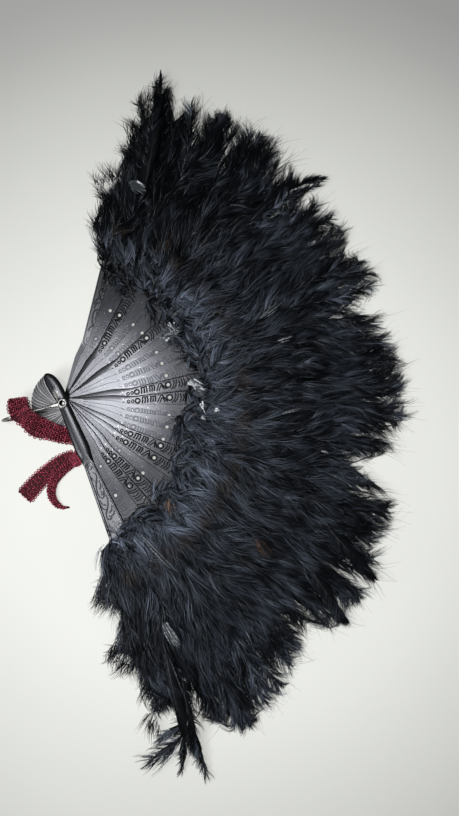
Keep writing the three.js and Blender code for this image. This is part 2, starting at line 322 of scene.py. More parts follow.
def marked(piece: Piece, name: str, values: Array) -> None:
    """Store one value a point, which the finish reads by its name."""
    mark = piece.data.attributes.new(name, "FLOAT", "POINT")
    mark.data.foreach_set("value", values.astype(np.float32))


@dataclass
class Solid:
    """Points and faces that grow as shapes are added."""

    points: list[Array] = field(default_factory=list)
    quads: list[Array] = field(default_factory=list)
    triangles: list[Array] = field(default_factory=list)
    count: int = 0

    def add(self, points: Array, quads: Array | None = None, triangles: Array | None = None) -> None:
        """Add one shape.

        Args:
            points: Its points.
            quads: Its four-cornered faces.
            triangles: Its three-cornered faces.
        """
        if quads is not None and len(quads):
            self.quads.append(quads + self.count)
        if triangles is not None and len(triangles):
            self.triangles.append(triangles + self.count)
        self.points.append(points)
        self.count += len(points)

    def faces(self) -> list[Array]:
        """Return the faces, one array for each corner count."""
        return [np.vstack(group) for group in (self.quads, self.triangles) if group]

    def all_points(self) -> Array:
        """Return all the points."""
        return np.vstack(self.points)

    def tube(self, path: Array, radius: Array | float, sides: int = 12, flat: float = 1.0) -> None:
        """Add a closed tube along a path.

        Args:
            path: The path's points.
            radius: One radius, or one a point.
            sides: Corners round the tube.
            flat: The share of the radius that its upright half-size has.
        """
        ways = unit(np.gradient(path, axis=0))
        up = np.array([0.0, 0.0, 1.0]) if abs(ways[0, 2]) < 0.9 else np.array([0.0, 1.0, 0.0])
        across = []
        for way in ways:
            level = unit(np.cross(up, way))
            up = np.cross(way, level)
            across.append((level, up))
        turn = np.linspace(0, 2 * np.pi, sides, endpoint=False)
        sizes = np.broadcast_to(radius, len(path))
        rings = [
            point + size * (np.cos(turn)[:, None] * level + flat * np.sin(turn)[:, None] * rise)
            for point, size, (level, rise) in zip(path, sizes, across)
        ]
        last = (len(path) - 1) * sides
        caps = [[0, k + 1, k] for k in range(1, sides - 1)]
        caps += [[last, last + k, last + k + 1] for k in range(1, sides - 1)]
        self.add(np.vstack(rings), ring_quads(sides, len(path)), np.array(caps))

    def lathe(self, profile: Sequence[Pair], sides: int = 72) -> None:
        """Add a shape turned about the rivet's axis.

        Args:
            profile: Rows of radius and height, from axis to axis.
            sides: Corners round the turn.
        """
        turn = np.linspace(0, 2 * np.pi, sides, endpoint=False)
        inner = profile[1:-1]
        rings = [np.stack([r * np.cos(turn), r * np.sin(turn), np.full(sides, z)], 1) for r, z in inner]
        ends = np.array([[0, 0, profile[0][1]], [0, 0, profile[-1][1]]])
        first = np.arange(sides)
        after = np.roll(first, -1)
        low, high = len(inner) * sides, len(inner) * sides + 1
        last = (len(inner) - 1) * sides
        caps = np.vstack(
            [np.stack([np.full(sides, low), after, first], 1),
             np.stack([np.full(sides, high), first + last, after + last], 1)]
        )
        self.add(np.vstack([*rings, ends]), ring_quads(sides, len(inner)), caps)


@dataclass
class Plate:
    """A plate cut from an outline, with holes, sunk shapes and a shaped upper face."""

    outline: Array
    top: Callable[[Array], Array]
    holes: list[Array] = field(default_factory=list)
    sunk: list[Array] = field(default_factory=list)
    guides: list[Array] = field(default_factory=list)
    grid: Array | None = None
    sink: float = 0.0
    emboss: float = 0.0

    def build(self) -> tuple[Array, Array, Array]:
        """Cut the plate into faces.

        Returns:
            Its points, its three-cornered faces, and which of the faces are part of the ornament.
        """
        points: list[Array] = []
        edges: list[tuple[int, int]] = []
        count = 0
        for loop in (self.outline, *self.holes, *self.sunk, *self.guides):
            ring = np.arange(len(loop)) + count
            edges += list(zip(ring.tolist(), np.roll(ring, -1).tolist()))
            points.append(loop)
            count += len(loop)
        if self.grid is not None:
            points.append(self.grid[inside(self.grid, self.outline)])
        flat = [Vector(p) for p in np.vstack(points)]
        places, _, faces, *_ = delaunay_2d_cdt(flat, edges, [], 0, 1e-6)
        plan = np.array([p[:] for p in places])
        cells = np.array([f for f in faces if len(f) == 3])
        a, b, c = plan[cells[:, 0]], plan[cells[:, 1]], plan[cells[:, 2]]
        turned = (b[:, 0] - a[:, 0]) * (c[:, 1] - a[:, 1]) - (b[:, 1] - a[:, 1]) * (c[:, 0] - a[:, 0]) < 0
        cells[turned] = cells[turned][:, ::-1]
        middles = (a + b + c) / 3
        kept = inside(middles, self.outline)
        for hole in self.holes:
            kept &= ~inside(middles, hole)
        cells, middles = cells[kept], middles[kept]
        low = np.zeros(len(cells), bool)
        for shape in self.sunk:
            low |= inside(middles, shape)
        return self._raised(plan, cells, low)

    def _raised(self, plan: Array, cells: Array, low: Array) -> tuple[Array, Array, Array]:
        """Give the flat cells their thickness.

        Args:
            plan: The flat points.
            cells: The flat faces.
            low: Which faces are sunk.

        Returns:
            The same three values as build.
        """
        size = len(plan)
        heights = self.top(plan)
        under = np.zeros(size)
        levels = np.concatenate([heights, heights - self.sink, under, under - self.emboss])
        top_cells = cells + low[:, None] * size
        under_cells = top_cells[:, ::-1] + 2 * size
        sides = np.vstack([cells[:, [0, 1]], cells[:, [1, 2]], cells[:, [2, 0]]])
        owner_low = np.tile(low, 3)
        key = np.sort(sides, axis=1) @ np.array([size, 1])
        order = np.argsort(key, kind="stable")
        same = key[order][1:] == key[order][:-1]
        mate = np.full(len(key), -1)
        mate[order[1:][same]] = order[:-1][same]
        mate[order[:-1][same]] = order[1:][same]
        rim = mate < 0
        step = ~rim & ~owner_low & owner_low[mate]
        outer = sides[rim] + owner_low[rim][:, None] * size
        inner = sides[step]
        under_inner = inner[:, ::-1] + 2 * size
        walls: list[Array] = []
        in_ornament: list[Array] = []
        bands = ((outer, 2 * size, False), (inner, size, True), (under_inner, size, True))
        for pairs, drop, is_sunk in bands:
            start, end = pairs.T
            walls.append(np.stack([end, start, start + drop], 1))
            walls.append(np.stack([end, start + drop, end + drop], 1))
            in_ornament += [np.full(len(start), is_sunk)] * 2
        points = np.column_stack([np.tile(plan, (4, 1)), levels])
        faces = np.vstack([top_cells, under_cells, *walls])
        dark = np.concatenate([low, low, *in_ornament])
        used, packed = np.unique(faces, return_inverse=True)
        return points[used], packed.reshape(faces.shape), dark


# Finishes


class Nodes:
    """A short way to wire a material."""

    def __init__(self, name: str) -> None:
        """Start a material with its main shader.

        Args:
            name: The material's name.
        """
        self.material = bpy.data.materials.new(name)
        self.material.use_nodes = True
        self.tree = self.material.node_tree
        self.shader = self.tree.nodes["Principled BSDF"]

    def add(self, kind: str, inputs: dict[str, object] | None = None, **settings: object) -> bpy.types.Node:
        """Add a node.

        Args:
            kind: The node's type name.
            inputs: Socket values, or output sockets to link.
            settings: The node's own settings.

        Returns:
            The node.
        """
        node = self.tree.nodes.new(kind)
        for name, value in settings.items():
            setattr(node, name, value)
        for name, value in (inputs or {}).items():
            self.put(node, name, value)
        return node

    def put(self, node: bpy.types.Node, name: str | int, value: object) -> None:
        """Set or link one socket.

        Args:
            node: The node.
            name: The socket's name or number.
            value: A value, or an output socket to link.
        """
        if isinstance(value, Socket):
            self.tree.links.new(value, node.inputs[name])
        else:
            node.inputs[name].default_value = value

    def surface(self, **values: object) -> None:
        """Set the main shader's sockets by name, with _ for a space."""
        for name, value in values.items():
            self.put(self.shader, name.replace("_", " "), value)

    def place(self, scale: Triple = (1, 1, 1)) -> Socket:
        """Return the piece's own coordinates, stretched by scale."""
        own = self.add("ShaderNodeTexCoord").outputs["Object"]
        return self.add("ShaderNodeMapping", {"Vector": own, "Scale": scale}).outputs["Vector"]

    def noise(self, scale: float, detail: float = 3, stretch: Triple = (1, 1, 1)) -> Socket:
        """Return a noise value.

        Args:
            scale: Its scale, in features a metre.
            detail: Its fineness.
            stretch: How far each axis is stretched.

        Returns:
            The noise's value socket.
        """
        settings = {"Vector": self.place(stretch), "Scale": scale, "Detail": detail}
        made = self.add("ShaderNodeTexNoise", settings)
        return made.outputs["Fac"]

    def ramp(self, value: Socket, *stops: tuple[float, Triple]) -> Socket:
        """Return a colour that follows a value.

        Args:
            value: The value.
            stops: Places and their colours.

        Returns:
            The colour socket.
        """
        node = self.add("ShaderNodeValToRGB", {"Fac": value})
        marks = node.color_ramp.elements
        while len(marks) < len(stops):
            marks.new(0.5)
        for mark, (place, colour) in zip(marks, stops):
            mark.position = place
            mark.color = (*colour, 1)
        return node.outputs["Color"]

    def mixed(self, share: object, first: object, second: object, mode: str = "MIX") -> Socket:
        """Mix two colours.

        Args:
            share: The second colour's share.
            first: The first colour.
            second: The second colour.
            mode: How they mix.

        Returns:
            The colour socket.
        """
        node = self.add("ShaderNodeMix", data_type="RGBA", blend_type=mode)
        for socket, value in ((0, share), (6, first), (7, second)):
            if isinstance(value, tuple) and len(value) == 3:
                value = (*value, 1)
            self.put(node, socket, value)
        return node.outputs[2]

    def mark(self, name: str) -> Socket:
        """Return the value that the mesh stores under a name."""
        return self.add("ShaderNodeAttribute", attribute_name=name).outputs["Fac"]

    def reckoned(self, operation: str, first: object, second: object) -> Socket:
        """Return what one kind of sum makes of two values."""
        return self.add("ShaderNodeMath", {0: first, 1: second}, operation=operation).outputs[0]

    def between(self, value: Socket, low: float, high: float) -> Socket:
        """Return a value spread from low to high."""
        made = self.add("ShaderNodeMapRange", {"Value": value, "To Min": low, "To Max": high})
        return made.outputs["Result"]

    def bump(self, height: Socket, strength: float, distance: float) -> None:
        """Raise the surface's shading.

        Args:
            height: The height's value.
            strength: Its share.
            distance: Its depth in metres.
        """
        made = self.add("ShaderNodeBump", {"Height": height, "Strength": strength, "Distance": distance})
        self.put(self.shader, "Normal", made.outputs["Normal"])


@dataclass(frozen=True)
class PearlFinish:
    """The sticks' pearly grey moulded surface."""

    name: str = "pearl_grey"
    dark: Triple = (0.021, 0.0215, 0.0255)
    pale: Triple = (0.044, 0.045, 0.049)
    rough: Pair = (0.165, 0.29)
    metallic: float = 0.92

    def make(self) -> Material:
        """Wire the finish.

        Returns:
            The material.
        """
        nodes = Nodes(self.name)
        cloud = nodes.noise(26, 4)
        grain = nodes.noise(420, 4, (0.12, 1, 1))
        peel = nodes.noise(900, 2)
        colour = nodes.ramp(cloud, (0.3, self.dark), (0.7, self.pale))
        colour = nodes.mixed(nodes.between(peel, 0, 0.3), colour, self.pale)
        fleck = nodes.ramp(nodes.noise(620, 1), (0.73, (0, 0, 0)), (0.79, (1, 1, 1)))
        colour = nodes.mixed(fleck, colour, (0.22, 0.22, 0.24))
        nodes.surface(Base_Color=colour, Roughness=nodes.between(grain, *self.rough), Metallic=self.metallic)
        nodes.bump(peel, 0.35, 0.00006)
        return nodes.material


def wash_and_shade_finish() -> Material:
    """Wire the dark wash that fills the sunk ornament; it also paints shade along the sticks' edges and walls
    and down the rivet's bore.

    Returns:
        The material.
    """
    nodes = Nodes("dark_wash_and_painted_shade")
    speck = nodes.noise(900, 3)
    colour = nodes.ramp(speck, (0.3, (0.002, 0.002, 0.003)), (0.75, (0.009, 0.009, 0.011)))
    nodes.surface(Base_Color=colour, Roughness=0.7, Specular_IOR_Level=0.12)
    return nodes.material


@dataclass(frozen=True)
class GuardFinish:
    """The guards' glossy gunmetal, with painted shade in its grooves and along its relief lines, and pale
    scraped patches that are partly bare metal and partly a painted highlight.
    """

    name: str = "gunmetal"
    high: Triple = (0.1, 0.102, 0.11)
    low: Triple = (0.022, 0.0225, 0.0255)
    # The colour of the grooves and relief lines: painted shade.
    groove: Triple = (0.004, 0.004, 0.005)
    # The colour of the scraped patches: partly bare metal, partly a painted highlight.
    bare: Triple = (0.17, 0.165, 0.157)

    def make(self) -> Material:
        """Wire the finish.

        Returns:
            The material.
        """
        nodes = Nodes(self.name)
        wear_and_shade = nodes.mark("wear_and_shade")
        cloud = nodes.noise(60, 2)
        # The lowest stop paints shade in the grooves and along the relief lines; the palest stop is the
        # scraped patches, partly a painted highlight.
        hollow_shade_stops = ((0.0, self.groove), (0.3, self.low), (0.45, self.low))
        colour = nodes.ramp(wear_and_shade, *hollow_shade_stops, (0.85, self.high), (0.93, self.high), (1.0, self.bare))
        colour = nodes.mixed(nodes.between(cloud, 0, 0.2), colour, (0.025, 0.025, 0.028))
        nodes.surface(Base_Color=colour, Roughness=nodes.between(cloud, 0.2, 0.26), Metallic=0.88)
        nodes.bump(nodes.noise(300, 1), 0.02, 0.00002)
        return nodes.material


def steel_finish() -> Material:
    """Wire the rivet's and the bail's drawn steel.

    Returns:
        The material.
    """
    nodes = Nodes("drawn_steel")
    scratch = nodes.noise(700, 5, (0.2, 1, 1))
    tarnish = nodes.noise(130, 3)
    colour = nodes.ramp(tarnish, (0.35, (0.1, 0.098, 0.095)), (0.65, (0.3, 0.3, 0.295)))
    nodes.surface(Base_Color=colour, Metallic=1.0, Roughness=nodes.between(scratch, 0.2, 0.42))
    nodes.bump(scratch, 0.15, 0.00003)
    return nodes.material


@dataclass(frozen=True)
class FeatherFinish:
    """Dyed black barbs whose high tones turn bluish grey: a painted sheen. Pale and russet strands use the
    same wiring with their own colours.
    """

    name: str = "black_barbs"
    deep: Triple = (0.0008, 0.001, 0.0014)
    light_end_and_sheen: Triple = (0.178, 0.212, 0.28)
    rust: Triple = (0.03, 0.019, 0.012)
    mottled: bool = False

    def make(self) -> Material:
        """Wire the finish.

        Returns:
            The material.
        """
        nodes = Nodes(self.name)
        patch = nodes.noise(800, 4) if self.mottled else nodes.noise(24, 3)
        fine = nodes.noise(420, 3)
        lit = nodes.reckoned("MULTIPLY", patch, nodes.mark("tone"))
        # The light end of the ramp is a painted bluish sheen on the black barbs, and the strands' own colour
        # on the pale and russet ones.
        colour = nodes.ramp(lit, (0.25, self.deep), (0.6, self.light_end_and_sheen))
        tinge = nodes.ramp(nodes.noise(21, 2), (0.66, (0, 0, 0)), (0.8, (1, 1, 1)))
        colour = nodes.mixed(tinge, colour, self.rust)
        nodes.surface(
            Base_Color=colour,
            Roughness=nodes.between(fine, 0.26, 0.44),
            Specular_IOR_Level=0.22,
            Specular_Tint=(0.8, 0.88, 1.0, 1),
        )
        return nodes.material


def quill_finish() -> Material:
    """Wire bare quill, pale and horny.

    Returns:
        The material.
    """
    nodes = Nodes("pale_quill")
    run = nodes.noise(160, 3, (0.2, 1, 1))
    colour = nodes.ramp(run, (0.3, (0.004, 0.004, 0.005)), (0.7, (0.02, 0.02, 0.022)))
    nodes.surface(Base_Color=colour, Roughness=0.35, Specular_IOR_Level=0.5)
    return nodes.material


@dataclass(frozen=True)
class CrochetFinish:
    """The ribbon's dark red metallic thread; its tone varies stitch by stitch, and on the raised stitches the
    brightest tones are painted glints.
    """

    name: str
    dark: Triple
    bright: Triple
    metallic: float
    sheen: float = 0.15
    gloss: float = 0.5

    def make(self) -> Material:
        """Wire the finish.

        Returns:
            The material.
        """
        nodes = Nodes(self.name)
        thread = nodes.noise(900, 4)
        lit = nodes.reckoned("ADD", thread, nodes.mark("tone"))
        # Each stitch's tone lifts it towards the bright colour: the thread varies, and on the stitches the
        # brightest tones are painted glints.
        colour = nodes.ramp(lit, (0.35, self.dark), (1.3, self.bright))
        nodes.surface(
            Base_Color=colour,
            Roughness=nodes.between(thread, 0.3, 0.55),
            Metallic=self.metallic,
            Specular_IOR_Level=self.gloss,
            Sheen_Weight=self.sheen,
            Sheen_Roughness=0.5,
            Sheen_Tint=(0.8, 0.3, 0.4, 1),
        )
        nodes.bump(thread, 0.3, 0.0001)
        return nodes.material


# The bars


@dataclass(frozen=True)
class BarPlace:
    """Where one bar of the pile lies. Bar 0 is the front guard and the last is the rear guard."""

    number: int
    slip: float = 0.1
    stick_thickness: float = 0.65
    guard_thickness: float = 2.2
    rear_guard_bottom: float = 2.2

    @property
    def angle(self) -> float:
        """The bar's direction in the plan, in degrees."""
        return FRONT_ANGLE + SPREAD * TURN_SHARES[self.number]

    @property
    def is_guard(self) -> bool:
        """Whether the bar is one of the guards."""
        return self.number in (0, LAST_BAR)

    @property
    def thickness(self) -> float:
        """The bar's thickness."""
        return self.guard_thickness if self.is_guard else self.stick_thickness

    @property
    def bottom(self) -> float:
        """The height of the bar's lower face.

        Returns:
            The height above the table in millimetres.
        """
        if self.number == LAST_BAR:
            return self.rear_guard_bottom
        lowest = self.rear_guard_bottom + self.guard_thickness + self.slip
        above = LAST_BAR - 1 - self.number
        return lowest + above * (self.stick_thickness + self.slip)

    @property
    def middle(self) -> float:
        """The height of the bar's middle."""
        return self.bottom + self.thickness / 2

    @property
    def body(self) -> str:
        """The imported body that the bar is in."""
        return self.named("blade_")

    @property
    def label(self) -> str:
        """The bar's name in its plume's node."""
        return self.named("")

    def named(self, stem: str) -> str:
        """Return the guard's name, or a stick's number after a stem."""
        return {0: "front", LAST_BAR: "rear"}.get(self.number, f"{stem}{self.number:02d}")

    def put(self, piece: Piece, height: float, turned_over: bool = False) -> None:
        """Lay a piece that was made along +X on the bar's axis.

        Args:
            piece: The piece.
            height: The height of its base.
            turned_over: Whether it lies face down.
        """
        turn = Matrix.Rotation(math.radians(self.angle), 4, "Z")
        flip = Matrix.Rotation(math.pi, 4, "X") if turned_over else Matrix.Identity(4)
        rise = Matrix.Translation((0, 0, height * MM))
        piece.matrix_world = rise @ turn @ flip

    def lay(self, piece: Piece, face_down: bool) -> None:
        """Lay a stick or a guard in its place in the pile."""
        self.put(piece, self.bottom + (self.thickness if face_down else 0), face_down)


@dataclass
class BarShape:
    """The outline that sticks and guards share."""

    head_width: float = 10.6
    tip_width: float = 19.2
    lean: float = 0.0
    head_reach: float = 29.0
    neck_width: float = 9.4
    swell: Pair = (40.0, 12.4)
    waist: Pair = (57.0, 8.8)
    blade_reach: float = 128.0
    tip_bulge: float = 1.6
    shank_hole: float = 2.65
    head_along: tuple[float, ...] = (-1, -0.975, -0.88, -0.72, -0.5, -0.25)
    head_wide: tuple[float, ...] = (0, 0.36, 0.74, 0.95, 1, 0.94)

    def half_at(self, x: Array) -> Array:
        """Measure half the bar's width.

        Args:
            x: Distances from the rivet along the bar.

        Returns:
            One half-width a distance.
        """
        xs = [self.head_reach * a for a in self.head_along]
        xs += [0, self.swell[0], self.waist[0], self.blade_reach]
        ys = [self.head_width / 2 * w for w in self.head_wide]
        ys += [self.neck_width / 2, self.swell[1] / 2, self.waist[1] / 2, self.tip_width / 2]
        return np.interp(x, xs, ys)

    def outline(self, inset: float = 0.0) -> Array:
        """Return the outline, drawn in by inset.

        Args:
            inset: How far inside the true edge.

        Returns:
            The outline's corners, anticlockwise.
        """
        along = np.array(self.head_along) * self.head_reach
        wide = np.array(self.head_wide) * self.head_width / 2
        rows = [*zip(along, wide), (0, self.neck_width / 2)]
        middle_swell = (self.neck_width + self.swell[1]) / 4
        rows += [(self.swell[0] / 2, middle_swell), (self.swell[0], self.swell[1] / 2)]
        rows += [((self.swell[0] + self.waist[0]) / 2, (self.swell[1] + self.waist[1]) / 4)]
        rows += [(self.waist[0], self.waist[1] / 2)]
        edge = catmull_rom(np.array(rows, float), 7)
        end = self.blade_reach - self.tip_bulge
        blade = np.array([[x, np.interp(x, [self.waist[0], end], [self.waist[1] / 2, self.tip_width / 2])]
                          for x in np.linspace(self.waist[0], end, 16)[1:]])
        edge = np.vstack([edge, blade])
        turn = np.linspace(1, -1, 13)[1:-1]
        tip = np.stack([end + self.tip_bulge * (1 - turn**2), turn * self.tip_width / 2], 1)
        lower = edge * (1, -1)
        loop = np.vstack([lower[1:], tip[::-1], edge[::-1]])
        behind = np.where(loop[:, 0] < 0, loop[:, 0] ** 2, 0)
        loop[:, 1] -= behind * math.tan(math.radians(self.lean)) / self.head_reach
        if inset:
            ways = np.roll(loop, -1, axis=0) - np.roll(loop, 1, axis=0)
            ways /= np.hypot(*ways.T)[:, None]
            loop = loop + inset * np.stack([-ways[:, 1], ways[:, 0]], 1)
        return loop


class StickTint(Enum):
    """A stick's finishes, in the order of the piece's materials."""

    FACE = 0
    # Sunk ornament: the dark wash face up and a darker pearl as painted shade face down; on face-up sticks
    # also the edge band, as painted shade.
    SUNK = 1
    RIM_HIGHLIGHT = 2
    DARKER_HEAD = 3
    # The dark finish on edges and walls: painted shade.
    EDGE = 4


@dataclass
class Sticks:
    """The flat pierced sticks between the guards."""

    shape: BarShape = field(default_factory=lambda: BarShape(tip_width=20.2, waist=(57.0, 9.3)))
    bevel: float = 0.62
    bevel_drop: float = 0.4
    sink: float = 0.24
    emboss: float = 0.09
    ring_hole: Triple = (89.0, 2.5, 1.3)
    dot_hole: Triple = (61.7, 0.6, 0.9)
    head_end: float = 14.0
    # How wide the heads' rims take the pale pearl, a painted highlight.
    highlight_rim_width: float = 0.38
    # How wide a band of the under face by the edge takes the dark finish, as painted shade.
    edge_shade_width: float = 0.26
    low_side: float = 0.15
    base_side: float = 0.03

    def column(self, x: float) -> float:
        """Return how far the ornament's middle stands off the axis at x."""
        slope = (self.ring_hole[1] - self.dot_hole[1]) / (self.ring_hole[0] - self.dot_hole[0])
        return self.dot_hole[1] + (x - self.dot_hole[0]) * slope

    def line(self, width: float, *places: Pair) -> Array:
        """Outline a stroke given from the ornament's own middle.

        Args:
            width: The stroke's width.
            places: Its corners.

        Returns:
            Its outline.
        """
        return stroke([(x, y + self.column(x)) for x, y in places], width)

    def ring(self, x: float, radius: float, hole: float, high: float | None = None) -> Array:
        """Return a ring as one outline with a hair-thin slit.

        Args:
            x: Its place along the stick.
            radius: Its outer radius.
            hole: Its inner radius.
            high: Its outer half-height, where it is an oval.

        Returns:
            The outline.
        """
        y = self.column(x)
        outer = circle(x, y, radius, 26, high)
        inner = circle(x, y, hole, 26, hole * (high or radius) / radius)
        slit = 0.004
        outer = np.vstack([outer, outer[:1] + (0, -slit)])
        inner = np.vstack([inner, inner[:1] + (0, -slit)])
        return np.vstack([outer, inner[::-1]])

    def comb(self, start: float, end: float, high: float) -> list[Array]:
        """Outline a comb of three teeth under a bar, with pips between them.

        Args:
            start: Where it begins along the stick.
            end: Where it ends.
            high: Its height across the stick.

        Returns:
            The outlines.
        """
        pitch = (end - start - 1.1) / 2
        half = high / 2
        shapes = [self.line(1.1, (start - 0.1, half), (end, half))]
        for tooth in range(3):
            x = start + 0.55 + tooth * pitch
            shapes.append(self.line(1.3, (x, half), (x + 0.15, 0), (x - 0.3, -half)))
        return shapes

    def chevron(self, foot: float, peak: Pair, end: float, low: float) -> list[Array]:
        """Outline one roof-shaped stroke.

        Args:
            foot: Where its near leg stands.
            peak: Its top.
            end: Where its far leg stands.
            low: How far down the legs go.

        Returns:
            The outlines.
        """
        x, y = peak
        return [self.line(1.0, (foot, low), (x - 0.25, y)), self.line(1.15, (x + 0.1, y + 0.25), (end, low))]

    def ornament(self) -> list[Array]:
        """Lay out the sunk ornament, from the pip by the neck to the dot near the plume.

        Returns:
            The outlines.
        """
        shapes = [self.line(0.6, (47.6, -0.8), (48.5, 0.2), (49.8, 0.2), (50.6, -0.6))]
        for x in (54.0, 57.5):
            shapes.append(self.ring(x, 1.5, 0.55, 1.7))
        shapes.append(self.ring(self.dot_hole[0], 2.6, 1.3))
        shapes += self.comb(65.3, 70.9, 5.2)
        shapes += self.comb(72.4, 77.4, 5.0)
        for foot, peak, end in ((78.4, (82.0, 3.4), 87.2), (80.6, (82.9, 0.9), 85.2)):
            shapes += self.chevron(foot, peak, end, -3.3)
        shapes.append(self.ring(self.ring_hole[0], 3.0, 1.8))
        for k in range(2):
            start = 90.9 + 2.1 * k
            curve = ((start, -4.6), (start + 2.2, -2.4), (start + 3.4, 0.4 + 0.6 * k), (start + 3.2, 3.2))
            shapes.append(self.line(1.0, *curve))
        for k in range(3):
            start = 97.8 + 2.3 * k
            shapes.append(self.line(1.0, (start, -4.2), (start + 1.2, -1.0), (start + 0.2, 2.4)))
        shapes.append(self.line(1.0, (105.6, -5.8), (107.6, -1.0), (105.2, 3.6)))
        shapes.append(self.line(0.9, (109.0, -4.8), (110.8, -1.0), (109.0, 2.6)))
        shapes.append(circle(114.0, self.column(114) - 2.0, 1.5, 16))
        return shapes

    def build(
        self,
        pearl: Material,
        wash_and_shade: Material,
        wear_and_shade: Material,
        rim_highlight: Material,
        darker_heads: Material,
    ) -> None:
        """Make all the sticks from one plate.

        Args:
            pearl: The sticks' finish.
            wash_and_shade: The dark wash in the sunk ornament, which also paints shade along the edges and on
                the walls.
            wear_and_shade: A darker pearl that paints shade on the relief that shows through the back.
            rim_highlight: A pale pearl that paints a highlight on the heads' rims.
            darker_heads: A darker pearl for the heads' faces.
        """
        outline = self.shape.outline()
        place = BarPlace(1)

        def top(plan: Array) -> Array:
            """Return the upper face's height, rounded off at the rim."""
            gap = distance_to(plan, outline, closed=True)
            return place.thickness - self.bevel_drop * (1 - np.clip(gap / self.bevel, 0, 1)) ** 2

        holes = [circle(0, 0, self.shape.shank_hole, 36)]
        holes += [circle(x, y, radius, 20) for x, y, radius in (self.ring_hole, self.dot_hole)]
        guides = [self.shape.outline(self.bevel * share) for share in (1.1, 0.6, 0.25)]
        plate = Plate(outline, top, holes, self.ornament(), guides, sink=self.sink, emboss=self.emboss)
        points, faces, dark = plate.build()
        middles = points[faces].mean(axis=1)
        x, _, z = middles.T
        from_edge = distance_to(middles[:, :2], outline, closed=True)
        above = z > self.low_side
        off_base = z > self.base_side
        blade = x >= self.head_end
        wall = off_base & (z < place.thickness - self.bevel_drop - 0.01) & (from_edge < 0.05)
        # Along the blade's edge: a band that takes the dark finish on face-up sticks, as painted shade.
        rim = (from_edge < self.bevel * 0.85) & blade & off_base
        face, sunk = StickTint.FACE.value, StickTint.SUNK.value
        # Face up, the sunk ornament takes the dark wash, and the edge band takes it too as painted shade.
        face_up = np.where((dark & above) | rim, sunk, face)
        # Face down, the relief that shows through the back takes a darker pearl: painted shade.
        face_down = np.where(dark & ~above, sunk, face)
        # Face down, the walls and a thin band of the under face by the edge take the dark finish: painted
        # shade.
        face_down[(wall | (~above & (from_edge < self.edge_shade_width))) & blade] = StickTint.EDGE.value
        for tints in (face_up, face_down):
            # The heads' faces take a darker pearl.
            tints[x < 0] = StickTint.DARKER_HEAD.value
            # The heads' rims take a pale pearl: a painted highlight.
            tints[(from_edge < self.highlight_rim_width) & (x < -2)] = StickTint.RIM_HIGHLIGHT.value
            # The walls near the heads take the dark finish: painted shade.
            tints[wall & (x < 6)] = StickTint.EDGE.value
        for number in range(1, LAST_BAR):
            bar = BarPlace(number)
            down = number in FACE_DOWN
            finishes = [pearl, wear_and_shade if down else wash_and_shade, rim_highlight, darker_heads, wash_and_shade]
            chosen = face_down if down else face_up
            piece = new_object(f"pierced_stick_{number:02d}", points, [faces], finishes, chosen, 30)
            bar.lay(piece, down)
            seated(piece, bar.body, "stick", f"stick_{number:02d}")


